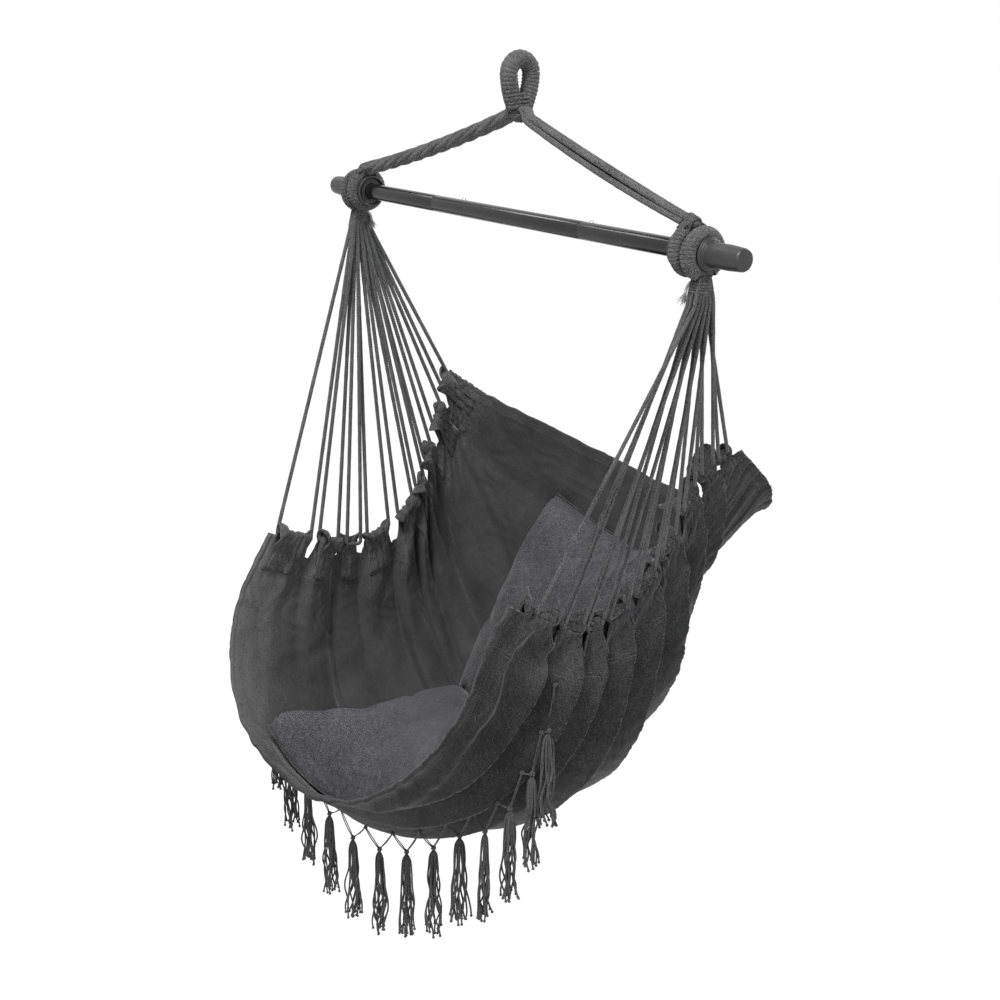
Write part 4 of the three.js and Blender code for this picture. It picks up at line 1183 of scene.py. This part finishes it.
def make_plastic():
    for word, side in SIDES.items():
        shape = Shape()
        shape.lathe(bevelled(CAP_PROFILE, CAP_LIP), side * CAP_X * X, axes=(Y, UP, side * X))
        shape.make(f"{word}_end_cap_plastic", PLASTIC, f"{word}_cap",
                   f"{word}_end_cap")
        shape = Shape()
        shape.lathe(bevelled(COLLAR_PROFILE, COLLAR_LIP), side * COLLAR_X * X,
                    axes=(Y, UP, -side * X))
        shape.make(f"{word}_collar_plastic", PLASTIC, "yoke",
                   f"{word}_inner_collar")


def make_buttons():
    out = np.array([0, math.sin(BUTTON_LEAN), math.cos(BUTTON_LEAN)])
    for word, side in SIDES.items():
        shape = Shape()
        shape.lathe(bevelled(BUTTON_PROFILE, BUTTON_LIP, 5), BUTTON_XS[side] * X, 32,
                    (X, np.cross(out, X), out))
        shape.make(f"{word}_button_steel", BRIGHT, f"{word}_button",
                   f"{word}_snap_button")


make_fan_cords()
make_strands()
make_rings()
make_lashings()
make_loop()
make_whipping()
make_bar()
make_plastic()
make_buttons()


# The sling as a sheet of cloth
def columns_of(side):
    """For every column of the grid at one edge: its share from the front, how far it lies
    in a gap (0 in a lobe, 1 at the gap's middle), the depth of the fold and slit there, and
    its place in its lobe from -1 to 1 (2 in gaps)."""
    spans, blocks = SPANS[side], []

    def add(start, end, steps, loose=0, fold=0, slit=0, lobe=(0, 0), closed=False):
        t = np.linspace(0, 1, steps, endpoint=closed)
        blocks.append([start + (end - start) * t, loose * np.sin(math.pi * t) ** 0.8,
                       fold + 0 * t, slit + 0 * t, lobe[0] + (lobe[1] - lobe[0]) * t])

    add(0, spans[0][0], END_STEPS, lobe=(-1, -1))
    for i, (start, end) in enumerate(spans):
        add(start, end, LOBE_STEPS, lobe=(-1, 1))
        if i + 1 < len(spans):
            add(end, spans[i + 1][0], GAP_STEPS, 1, FOLDS[side][i], SLITS[side][i], (2, 2))
    add(spans[-1][1], 1, END_STEPS + 1, lobe=(1, 1), closed=True)
    return dict(zip(("share", "loose", "fold", "slit", "lobe"), np.hstack(blocks)))


def rows_across():
    """Shares across for the rows of the grid, closest at the hems."""
    edge = np.concatenate([[0], *(np.linspace(low, high, count)[1:] for low, high, count in (
        (0, 0.05, 26), (0.05, 0.14, 26), (0.14, 0.3, 26), (0.3, 0.5, 34)))])
    return np.concatenate([edge, 1 - edge[::-1][1:]])


def gap_middles(loose):
    top = (loose[1:-1] >= loose[:-2]) & (loose[1:-1] > loose[2:]) & (loose[1:-1] > 0.9)
    return np.flatnonzero(top) + 1


def pleats(from_front, distance, columns, side):
    """Overlapping pleats below a side hem: each panel rises from front to back, up to a ridge
    below the gap, and drops there behind the ridge. Also how far the ridges lean back."""
    saw, lean = np.zeros_like(distance), np.zeros_like(distance)
    before = from_front[:, :1] - 0.03
    centres = gap_middles(columns["loose"])
    for centre, depth, drift in zip(centres, columns["fold"][centres], DRIFTS[side]):
        ridge = from_front[:, centre:centre + 1] - drift * distance[:, centre:centre + 1]
        ridge = np.maximum(ridge, before + 0.015)
        share = (from_front - before) / (ridge - before)
        inside = from_front > before
        rise = np.clip(share, 0, 1) ** FOLD_BULGE[side]
        drop = 1 - smooth(-0.001, 0.009 + FOLD_SOFTNESS[side] * distance, from_front - ridge)
        fade = bell(distance, FOLD_REACH[side] * (0.6 + 0.9 * depth))
        fade = fade * (0.22 + 0.78 * smooth(0.005, 0.07, distance)) * depth
        centred = FOLD_CENTRE * smooth(0, 0.3, share) * np.where(from_front < ridge, 1, drop)
        panel = np.where(inside, rise * drop, 0) - centred
        saw += np.where(inside, panel, 0) * fade
        lean += bell(from_front - ridge, 0.012) * fade * smooth(0.02, 0.07, distance)
        before = ridge
    return saw, lean


def creased(x, y, seed):
    """Soft wandering creases, mostly down the cloth, and shorter ones across it."""
    wander = 0.5 * ripple(y / 0.09, seed + 20) + 0.4 * ripple(x / 0.11, seed + 21)
    down = (1 - np.abs(ripple(x / 0.05 + wander, seed + 22))) ** 3
    over = (1 - np.abs(ripple(y / 0.05 + 0.9 * ripple(x / 0.08, seed + 23), seed + 24))) ** 3
    here = 0.5 + 0.5 * ripple(x / 0.12 + ripple(y / 0.12, seed + 25), seed + 26)
    return np.clip(down, 0, 1.5) * (0.4 + here) + 0.7 * np.clip(over, 0, 1.5) * (1 - here)


def long_folds(across, along, length):
    """Folds that run far down the cloth: it falls away steeply up to the line of the fold
    and rises slowly behind it."""
    height = np.zeros(along.shape)
    for (u0, a0), (u1, a1), deep, soft in LONG_FOLDS:
        t = (across - u0) / (u1 - u0)
        off = (along - a0 - (a1 - a0) * t) * length
        away = np.sqrt(off ** 2 + soft ** 2) - soft
        falls = np.exp(-away / np.where(off < 0, LONG_FOLD_FRONT, LONG_FOLD_BACK))
        height -= deep * falls * smooth(-0.15, 0.12, t) * (1 - smooth(0.75, 1.2, t))
    return height


def gathers(columns, side, hem, from_front, distance):
    """What the gathered hem on one side adds inwards, onwards and down the cloth."""
    seed = 3 if side < 0 else 8
    saw, lean = pleats(from_front, distance, columns, side)
    lobe = columns["lobe"]
    in_lobe, off = lobe < 1.5, np.clip(np.abs(lobe), 0, 1)
    corner = CORNER_DROP * np.where(in_lobe, smooth(0.75, 1, off), 1)
    slit = columns["slit"] * np.clip(columns["loose"] * 1.25, 0, 1)
    lowered = (corner + slit)[None] * np.exp(-distance / SLIT_REACH)
    puff = np.where(in_lobe, SLEEVE_RADIUS * (1 - 0.5 * smooth(0.8, 1, off)), GAP_PUFF)
    crimp = np.sin(FULL_TURN * hem / CRIMP_PITCH + 1.3 * ripple(hem / 0.03, seed))
    crimp = crimp * (0.75 + 0.4 * ripple(hem / 0.02, seed + 1))
    near = np.exp(-distance / 0.02) + 0.35 * np.exp(-distance / 0.07)
    wander = 0.3 * ripple(distance / 0.2, seed + 2)
    pulls = ripple(from_front / PULL_PITCH + wander, seed + 3)
    fade = np.exp(-distance / PULL_REACH) * smooth(0, 0.03, distance)
    creases = creased(from_front, distance, seed) * np.exp(-distance / CREASE_REACH)
    inwards = (-FOLD_OUT * saw - puff[None] * bell(distance, PUFF_REACH)
               + CRIMP * crimp[None] * near + PULL * pulls * fade + CREASE_DEPTH[side] * creases)
    return inwards, FOLD_LEAN * lean, lowered


def banded(from_front, from_right):
    """The band along the front rim: a crest outwards and a valley behind it inwards."""
    past = from_front - BAND_WIDTH * (1 + 0.2 * ripple(from_right / 0.16, 51))
    crest = bell(np.minimum(past, 0), 0.02) * (1 - smooth(0, 0.012, past))
    crest = crest * smooth(0, 0.05, from_right) * (1 - smooth(0.42, 0.62, from_right))
    valley = smooth(0, 0.02, past) * (1 - smooth(0.03, 0.075, past))
    valley = valley * smooth(0, 0.04, from_right) * (1 - smooth(0.14, 0.26, from_right))
    return BAND_VALLEY * valley - BAND_OUT * crest


def lengths_over(rows, axis):
    """How far each place of a grid is from its first row or column, along the cloth."""
    steps = np.cumsum(np.linalg.norm(np.diff(rows, axis=axis), axis=2), axis)
    return np.insert(steps, 0, 0, axis)


def build_sling():
    """The cloth's middle surface as a grid, with the distances from its four edges."""
    columns = {side: columns_of(side) for side in SIDES.values()}
    u = rows_across()[:, None]
    along = columns[-1]["share"][None] * (1 - u) + columns[1]["share"][None] * u
    across = np.broadcast_to(u, along.shape)
    inward = sling_inward(across, along)
    base = sling_place(across, along) + inward * trimmed(across, along)[..., None]
    from_left, from_front = lengths_over(base, 0), lengths_over(base, 1)
    from_right, from_back = from_left[-1] - from_left, from_front[:, -1:] - from_front
    onward, down = unit(np.gradient(base, axis=1)), unit(np.gradient(base, axis=0))
    inwards = long_folds(u, along, from_front[:, -1:]) + banded(from_front, from_right)
    places = base.copy()
    for side, distance in ((-1, from_left), (1, from_right)):
        hem = from_front[0 if side < 0 else -1]
        more, leaned, lowered = gathers(columns[side], side, hem, from_front, distance)
        inwards += more
        places += onward * leaned[..., None] - side * down * lowered[..., None]
    middle = smooth(0.08, 0.2, from_left) * smooth(0.08, 0.2, from_right)
    sag = (0.6 * ripple(along * 5 + 0.6 * ripple(u * 3, 4), 12)
           + 0.3 * ripple(along * 11 + ripple(u * 5, 2), 31))
    under_cushions = bell(u - 0.54, 0.24, 4) * bell(along - 0.5, 0.44, 6)
    inwards -= SAG * (sag + 0.6) * middle * (1 - 0.8 * under_cushions)
    to_rim = np.minimum(from_front, from_back)
    wave = np.sin(FULL_TURN * from_left / RIM_WAVE_PITCH + 2 * ripple(from_left / 0.1, 6))
    inwards += RIM_WAVE * wave * np.exp(-to_rim / 0.035) - RIM_CURL * bell(to_rim, RIM_CURL_REACH)
    corner = (bell(from_right, 0.1) * bell(from_front, 0.07))[..., None]
    places += inward * inwards[..., None] + (CORNER_UP * UP - CORNER_OUT * onward) * corner
    return {"places": places, "from_left": from_left, "from_right": from_right,
            "from_front": from_front, "from_back": from_back, "columns": columns}


def shell(shape, rows, half, uv):
    """A closed sheet about a grid of places, with half its thickness at each place."""
    normal = unit(np.cross(np.gradient(rows, axis=0), np.gradient(rows, axis=1)))
    n, m = rows.shape[:2]
    count = n * m
    offset = normal * half[..., None]
    both = np.concatenate([(rows + offset).reshape(-1, 3), (rows - offset).reshape(-1, 3)])
    faces = grid_faces(n, m) + [face[::-1] for face in grid_faces(n, m, start=count)]
    index = np.arange(count).reshape(n, m)
    for rim in (index[:, 0], index[:, -1], index[0], index[-1]):
        faces += [[int(a), int(b), int(b) + count, int(a) + count] for a, b in zip(rim, rim[1:])]
    shape.add(both, faces, np.concatenate([uv.reshape(-1, 2)] * 2))
    return rows + offset, rows - offset


def sleeve_frames(side, edge, along):
    """At each column of a hem: the direction inwards and the one up, out of the cloth."""
    across = np.full_like(along, (side + 1) / 2)
    hem = unit(np.gradient(edge, axis=0))
    inward = sling_inward(across, along)
    inward = unit(inward - hem * np.sum(inward * hem, 1, keepdims=True))
    up = np.cross(hem, inward)
    rise = sling_place(across, along) - sling_place(np.abs(across - HEM_SHARE), along)
    return inward, up * np.sign(np.sum(up * rise, 1, keepdims=True))


def sleeves(shape, cloth, side):
    """The hem's channels: from the top of each lobe the cloth goes on over the cord and down
    again inside to the stitch line, and stands open at both ends, where the cord comes out."""
    sheet, distance = cloth["places"], cloth["from_left"]
    if side > 0:
        sheet, distance = sheet[::-1], cloth["from_right"][::-1]
    edge, columns = sheet[0], cloth["columns"][side]
    inward, up = sleeve_frames(side, edge, columns["share"])
    reach = lengths_along(edge)
    in_lobe = columns["lobe"] < 1.5
    starts = np.flatnonzero(in_lobe[1:] & ~in_lobe[:-1]) + 1
    random = np.random.RandomState(60 + side)
    for number, first in enumerate([END_STEPS, *starts]):
        pick = np.arange(first, first + LOBE_STEPS)
        pick = pick[np.abs(columns["lobe"][pick]) < 0.97]
        lobe, at = columns["lobe"][pick], reach[pick]
        way, rise = inward[pick], up[pick]
        seed = 40 + 11 * number + side
        ends = np.where(lobe < 0, random.uniform(0.4, 1.5), random.uniform(0.4, 1.5))
        ends = ends * smooth(0.55, 0.97, np.abs(lobe))
        radius = SLEEVE_RADIUS * (0.9 + MOUTH_FLARE[side] * ends)
        phase = at / SLEEVE_CRIMP_PITCH + 0.25 * ripple(at / 0.02, seed)
        crimp = np.sin(FULL_TURN * phase)
        centre = edge[pick] + way * radius[:, None] + rise * (FAN_CORD_RADIUS + CORD_SEAT)
        rows = []
        for angle in SLEEVE_ANGLES:
            over = max(math.sin(angle), 0)
            swell = 1 + 0.09 * crimp * math.sin(max(angle, 0))
            swell = swell + 0.07 * ripple(at / 0.015 + angle, seed + 1)
            high = radius * swell * math.sin(angle) + LOBE_EAR[side] * ends * over
            aside = radius * swell * math.cos(angle)
            rows.append(centre - way * aside[:, None] + rise * high[:, None])
        for depth in SLEEVE_DEPTHS:
            below = [read_at(sheet[:, j], distance[:, j], depth) for j in pick]
            gap = SLEEVE_GAP + 2 * radius * math.exp(-depth / SLEEVE_GAP_REACH)
            gap = gap + SLEEVE_CRIMP * crimp * math.exp(-depth / 0.03)
            gap = gap + SLEEVE_UNEVEN * ripple(at / 0.02 + depth * 60, seed + 2)
            rows.append(np.array(below) + way * gap[:, None])
        rows = np.array(rows)
        over = np.arange(len(SLEEVE_ANGLES)) * 0.0016
        down = np.concatenate([over, 0.0225 + np.linspace(0.006, 0.064, len(SLEEVE_DEPTHS))])
        uv = np.stack(np.meshgrid(down, at, indexing="ij"), -1)
        shell(shape, rows, np.full(rows.shape[:2], SLEEVE_HALF), uv)


def make_sling():
    """The cloth with its hems' sleeves, and its places and faces for what lies on it."""
    cloth = build_sling()
    rows = cloth["places"]
    steps, onward = lengths_over(rows, 0), lengths_over(rows, 1)
    uv = np.stack([steps, np.broadcast_to(onward[len(rows) // 2][None], steps.shape)], -1)
    to_hem = np.minimum(cloth["from_left"], cloth["from_right"])
    to_rim = np.minimum(cloth["from_front"], cloth["from_back"])
    half = CLOTH_HALF + HEM_EXTRA * (1 - smooth(HEM_BAND - 0.001, HEM_BAND + 0.0005, to_hem))
    half = half + RIM_EXTRA * (1 - smooth(0.018, 0.021, to_rim))
    half = half + RIM_ROLL * bell(to_rim - RIM_ROLL_AT, RIM_ROLL_WIDE)
    half = half + RIM_RIDGE * bell(to_rim - RIM_RIDGE_AT, RIM_RIDGE_WIDE)
    shape = Shape()
    cloth["inner"], cloth["outer"] = shell(shape, rows, half, uv)
    sleeves(shape, cloth, -1)
    far_sleeves = shape.count - 2 * half.size
    sleeves(shape, cloth, 1)
    piece = shape.make("sling_cloth", SLING_CLOTH, "hammock", "sling")
    hem = 1 - smooth(HEM_BAND - 0.01, HEM_BAND + 0.05, to_hem)
    front = 1 - smooth(0.03, 0.13, cloth["from_front"])
    far = 1 - smooth(0.3, 0.42, cloth["from_left"])
    # Grain strength, weaker on the inner face as painted shade.
    grain = np.clip(INNER_SHADED_GRAIN + 0.8 * hem + 0.75 * front, 0, 1)
    # Paleness as painted light: on the inner face, the far front, the hems and the far sleeves.
    painted_light_inside = INNER_PAINTED_LIGHT + FAR_FRONT_PAINTED_LIGHT * front * far + HEM_PAINTED_LIGHT["inner"] * hem
    painted_light_outside = OUTER_PALE + HEM_PAINTED_LIGHT["outer"] * hem
    sleeve_painted_light = np.full(far_sleeves, FAR_SLEEVE_PAINTED_LIGHT)
    wear(piece, np.concatenate([grain.ravel(), np.full(grain.size, OUTER_GRAIN)]),
         np.concatenate([painted_light_inside.ravel(), painted_light_outside.ravel(), sleeve_painted_light]))
    return piece, cloth


def add_stitches(shape, line):
    """Short raised threads along a line."""
    line = spaced(line, 0.001)
    reach = lengths_along(line)
    for start in np.arange(0.002, reach[-1] - STITCH_LENGTH, STITCH_LENGTH + STITCH_GAP):
        at = np.linspace(start, start + STITCH_LENGTH, len(STITCH_RADII))
        shape.tube(read_at(line, reach, at), STITCH_RADII, 5)


def line_at(rows, distance, value):
    """The line on a grid at one distance from an edge."""
    out = []
    for j in range(distance.shape[1]):
        column = distance[:, j]
        order = np.argsort(column)
        out.append([np.interp(value, column[order], rows[order, j, k]) for k in range(3)])
    return np.array(out)


def make_stitches():
    shape = Shape()
    for key in ("from_left", "from_right"):
        for value in HEM_STITCHES:
            for face in ("inner", "outer"):
                add_stitches(shape, line_at(cloth[face], cloth[key], value))
    for key in ("from_front", "from_back"):
        for face in ("inner", "outer"):
            grid = cloth[face].transpose(1, 0, 2)
            add_stitches(shape, line_at(grid, cloth[key].T, RIM_STITCH))
    return shape.make("sling_stitches", STITCH, "hammock")


sling, cloth = make_sling()
seams = make_stitches()


# Cushions
def pillow():
    """A flat square pillow with a closed cover, and for every place of the upper side the one
    below it, or itself on the sewn edge."""
    n = CUSHION_CELLS + 1
    axis = np.linspace(-1, 1, n)
    x, y = np.meshgrid(axis, axis, indexing="ij")
    px = x * (1 - CUSHION_DRAWN_IN * (1 - y ** 2) * np.abs(x) ** 3)
    py = y * (1 - CUSHION_DRAWN_IN * (1 - x ** 2) * np.abs(y) ** 3)
    room = np.clip((1 - x ** 2) * (1 - y ** 2), 0, 1) ** 0.5
    top, low = (np.stack([px, py, z * room], -1).reshape(-1, 3) for z in (0.1, -0.1))
    edge = ((np.abs(x) > 0.9999) | (np.abs(y) > 0.9999)).reshape(-1)
    below = np.where(edge, np.arange(n * n), n * n + np.cumsum(~edge) - 1)
    faces = [face[::-1] for face in grid_faces(n, n)]
    faces += [[int(below[v]) for v in face] for face in grid_faces(n, n)]
    mesh = bpy.data.meshes.new("pillow_form")
    mesh.from_pydata((np.concatenate([top, low[~edge]]) * CUSHION_HALF).tolist(), [], faces)
    piece = bpy.data.objects.new("pillow_form", mesh)
    bpy.context.scene.collection.objects.link(piece)
    return piece, below


def read_places(piece):
    places = np.zeros(len(piece.data.vertices) * 3, np.float32)
    piece.data.vertices.foreach_get("co", places)
    return places.reshape(-1, 3).astype(float)


def blow_up(piece):
    """The places of a flat cover after the cloth simulation has inflated it."""
    modifier = piece.modifiers.new("cloth", "CLOTH")
    settings = modifier.settings
    settings.use_pressure = True
    settings.uniform_pressure_force = CUSHION_PRESSURE
    settings.quality = 6
    settings.mass = 0.3
    settings.tension_stiffness = settings.compression_stiffness = 25
    settings.shear_stiffness = 8
    settings.bending_stiffness = 0.6
    settings.air_damping = 3
    settings.effector_weights.gravity = 0
    modifier.point_cache.frame_start = 1
    modifier.point_cache.frame_end = CUSHION_FRAMES
    scene = bpy.context.scene
    for number in range(1, CUSHION_FRAMES + 1):
        scene.frame_set(number)
    places = read_places(piece.evaluated_get(bpy.context.evaluated_depsgraph_get()))
    piece.modifiers.remove(modifier)
    scene.frame_set(1)
    return places


def puffed():
    """The pillow's places in units of its half width, simulated, with its height from -1 to 1.
    Also its flat places and faces."""
    piece, below = pillow()
    flat = read_places(piece) / CUSHION_HALF
    faces = [list(p.vertices) for p in piece.data.polygons]
    places = blow_up(piece) / CUSHION_HALF
    places -= (places.min(0) + places.max(0)) / 2
    bpy.data.objects.remove(piece)
    thick = np.maximum(places[:len(below), 2] - places[below, 2], 0)
    places[below, 2] = -thick / thick.max()
    places[:len(below), 2] = thick / thick.max()
    reach = np.abs(places[:, :2]).max(0)
    places[:, :2] = 0.4 * places[:, :2] / reach + 0.6 * flat[:, :2]
    return places, flat, faces


def cushion_creases(a, b, creases, seed):
    """How far the creases of a cover raise it: a groove each, with a low swell beside it."""
    total = np.zeros_like(a)
    for start, end, deep, wide in creases:
        run = np.subtract(end, start)
        da, db = a - start[0], b - start[1]
        at = (da * run[0] + db * run[1]) / (run @ run)
        off = (da * run[1] - db * run[0]) / np.linalg.norm(run) + 0.05 * np.sin(5 * at + seed)
        fade = smooth(-0.1, 0.25, at) * (1 - smooth(0.7, 1.15, at))
        total += deep * fade * (0.5 * bell(off - 1.7 * wide, wide) - bell(off, wide))
    return total


def drape(places, spot, seed):
    """Lays the puffed pillow on the sling: its lower side rests there and its crown stands
    off, partly square to the cloth below and partly the way the whole cushion faces."""
    a, b, h = places.T
    bow = spot["bow"] * (1 - b ** 2) * (1 - a) / 2
    across = spot["across"] + spot["half_across"] * a + spot["lean"] * b - bow
    along = spot["along"] + spot["half_along"] * b
    inward = sling_inward(across, along, 0.05)
    base = sling_place(across, along) + inward * trimmed(across, along)[:, None]
    facing = unit(inward.mean(0))
    away = unit(inward * (1 - spot["upright"]) + facing * spot["upright"])
    room = np.clip((1 - a ** 2) * (1 - b ** 2), 0, 1)
    full = room ** 0.33
    low = CUSHION_REST + CUSHION_SEAM * (1 - full)
    lumps = ripple(a * 1.3 + 0.8 * ripple(b * 0.9, seed), seed + 1)
    lumps = CUSHION_LUMP * (lumps + 0.6 * ripple(b * 1.7 + a, seed + 2)) * room
    crown = 0.4 * full + 0.6 * np.clip(h, 0, 1) ** 0.6
    puckers = 0
    for u, v, k in ((a, b, 3), (b, a, 4)):
        wave = np.sin(34 * u + 2 * ripple(u * 3, seed + k))
        puckers = puckers + CUSHION_PUCKER * wave * np.exp((np.abs(v) - 1) / 0.09)
    rise = spot["thickness"] * crown * 0.97 + lumps + cushion_creases(a, b, spot["creases"], seed)
    rise = rise + puckers * np.clip(h * 4, 0, 1)
    lift = np.where(h > 0, rise, 0.002 * (1 + h))
    ear = spot["ear"] * np.exp(-((a + 1) ** 2 + (b + 1) ** 2) / EAR_SIZE)
    corner = unit(base[np.argmin(a + b)] - base.mean(0))
    out = base + inward * (low + ear)[:, None] + away * lift[:, None] + corner * ear[:, None]
    return above_cloth(out, inward)


def cloth_tree(inside):
    """The inner or the outer face of the finished cloth, for casting rays at."""
    middle = sling_inward(np.array([0.5]), np.array([0.5]))[0]
    inner, outer = cloth["inner"], cloth["outer"]
    if (outer - inner)[60, 60] @ middle > 0:
        inner, outer = outer, inner
    face = inner if inside else outer
    return closed_tree(face.reshape(-1, 3), grid_faces(*face.shape[:2]))


def above_cloth(places, inward, reach=0.06):
    """Places of a cushion that lie under the cloth's inner face moved to just above it."""
    tree = cloth_tree(True)
    moved = places.copy()
    for i, (place, way) in enumerate(zip(places, inward)):
        distance = tree.ray_cast(Vector(place + way * reach), Vector(-way), 2 * reach)[3]
        if distance is not None and reach - distance > -CUSHION_GAP:
            moved[i] = place + way * (reach - distance + CUSHION_GAP)
    return moved


def pushed_out(places, other, faces):
    """Places that lie inside the other closed mesh moved to just outside it."""
    tree = closed_tree(other, faces)
    moved = places.copy()
    for i, place in enumerate(places):
        spot, normal = tree.find_nearest(place, 0.12)[:2]
        if spot is not None and (Vector(place) - spot).dot(normal) < CUSHION_GAP:
            moved[i] = np.array(spot) + np.array(normal) * CUSHION_GAP
    return moved


def cushion_piece(name, places, faces, uv):
    """A cushion's cover, and the welt sewn round its edge."""
    shape = Shape()
    shape.add(places, faces, uv)
    body = f"{name}_pad"
    cover = shape.make(f"{name}_cushion_cover", CUSHION_CLOTH, body,
                       f"{name}_cushion")
    wear(cover)
    finer = cover.modifiers.new("fine", "SUBSURF")
    finer.levels = finer.render_levels = 1
    n = CUSHION_CELLS + 1
    index = np.arange(n * n).reshape(n, n)
    ring = [index[0, :-1], index[:-1, -1], index[-1, :0:-1], index[:0:-1, 0], index[0, :1]]
    shape = Shape()
    shape.tube(spaced(places[np.concatenate(ring)], 0.003)[:-1], WELT_RADIUS, 8, closed=True)
    wear(shape.make(f"{name}_cushion_seam", CUSHION_CLOTH, body))
    return cover


def make_cushions():
    form, flat, faces = puffed()
    uv = flat[:, :2] * CUSHION_HALF
    seat_places = drape(form, SEAT_SPOT, 21)
    back_places = pushed_out(drape(form, BACK_SPOT, 33), seat_places, faces)
    seat = cushion_piece("seat", seat_places, faces, uv)
    back = cushion_piece("back", back_places, faces, uv)


make_cushions()


# Fringe
def fringe_place(share):
    """Places on the outer face of the finished cloth, a little proud of it."""
    across = FRINGE_FROM[0] + (FRINGE_TO[0] - FRINGE_FROM[0]) * share
    along = FRINGE_FROM[1] + (FRINGE_TO[1] - FRINGE_FROM[1]) * share
    tree = cloth_tree(False)
    found = []
    for place, way in zip(sling_place(across, along), sling_inward(across, along)):
        start = Vector(place - way * FRINGE_SEARCH)
        hit = tree.ray_cast(start, Vector(way), 2 * FRINGE_SEARCH)[0]
        found.append(np.array(place if hit is None else hit) - way * FRINGE_PROUD)
    return np.array(found)


def add_knot(shape, place, radius):
    """An overhand knot: a short cord wound on itself."""
    t = np.linspace(0, FULL_TURN, 48, endpoint=False)
    x = radius * 0.45 * (np.sin(t) + 2 * np.sin(2 * t)) / 2
    y = radius * 0.45 * (np.cos(t) - 2 * np.cos(2 * t)) / 2
    line = place + np.stack([x, y, -radius * 0.5 * np.sin(3 * t)], -1)
    shape.rope(line, radius * 0.42, **KNOT_LAY)


def add_tassel(shape, head, random):
    """Threads that hang from a knot, each with a knotted tip."""
    seed = random.randint(1000)
    t = np.linspace(0, 1, 25)
    for k in range(TASSEL_THREADS):
        angle = FULL_TURN * k / TASSEL_THREADS + random.uniform(-0.2, 0.2)
        spread = random.uniform(0.35, 1)
        length = TASSEL_LENGTH * random.uniform(0.88, 1.0)
        sway = spread * (TASSEL_BODY * (1 - np.exp(-30 * t)) + TASSEL_FLARE * t)
        wave = [ripple(t * 1.7, 70 + k + seed), ripple(t * 1.7, 90 + k + seed), 0 * t]
        wave = TASSEL_WAVE * np.stack(wave, -1) * smooth(0.15, 0.75, t)[:, None]
        out = np.array([math.cos(angle), math.sin(angle), 0]) * sway[:, None]
        line = head + out + wave - UP * (TASSEL_TOP + (length - TASSEL_TOP) * t)[:, None]
        shape.rope(rounded(line, 0.004, 1), TASSEL_THREAD, **TASSEL_LAY)
        heights, radii = np.transpose(TIP)
        shape.tube(line[-1] + UP * heights[:, None], radii, 6)


def make_fringe():
    row = fringe_place(np.linspace(0, 1, 400))
    reach = lengths_along(row)
    knots = read_at(row, reach, np.linspace(0, reach[-1], 2 * FRINGE_TASSELS + 1))
    upper, lower = knots[::2], knots[1::2] - UP * FRINGE_DROP
    shape = Shape()
    random = np.random.RandomState(44)
    for i, head in enumerate(lower):
        for knot in upper[i:i + 2]:
            for off in (-NET_DOUBLE * Y, NET_DOUBLE * Y):
                middle = (knot + head) / 2 + off * 2 - UP * NET_SAG
                line = rounded([knot + off, middle, head + off], 0.002, 4)
                shape.rope(line, NET_THREAD, **NET_LAY)
        add_knot(shape, head, TASSEL_KNOT)
        add_tassel(shape, head, random)
    for knot in upper:
        add_knot(shape, knot, FRINGE_KNOT)
    return shape.make("fringe_threads", THREAD, "hammock", "tassel_fringe")


def make_tails():
    """The frayed ends of the servings below the outer rings."""
    random = np.random.RandomState(7)
    d = np.linspace(0, 1, len(HAIR_RADII))[:, None]
    for word, side in SIDES.items():
        shape = Shape()
        ring_foot = np.array([side * OUTER_RING_X, 0, RING_FOOT_Z])
        away = -side * np.array([0.6, 0.8, 0])
        bends = np.array([ring_foot + away * out - UP * down for out, down in TAIL_BENDS])
        tail = rounded(bends, 0.0015, 4)
        shape.rope(tail, 1.15 * SERVING_RADIUS, **TAIL_LAY)
        lean = unit(bends[-1] - bends[-2])
        for _ in range(TAIL_HAIRS):
            way = unit(lean + random.normal(0, 0.42, 3))
            start = tail[-1] + random.normal(0, 0.0011, 3)
            hair = start + way * d * random.uniform(0.005, 0.013) - UP * 0.004 * d ** 2
            shape.tube(hair, HAIR_RADII, 4)
        shape.make(f"{word}_frayed_tail", TAIL, "hammock")


fringe = make_fringe()
make_tails()
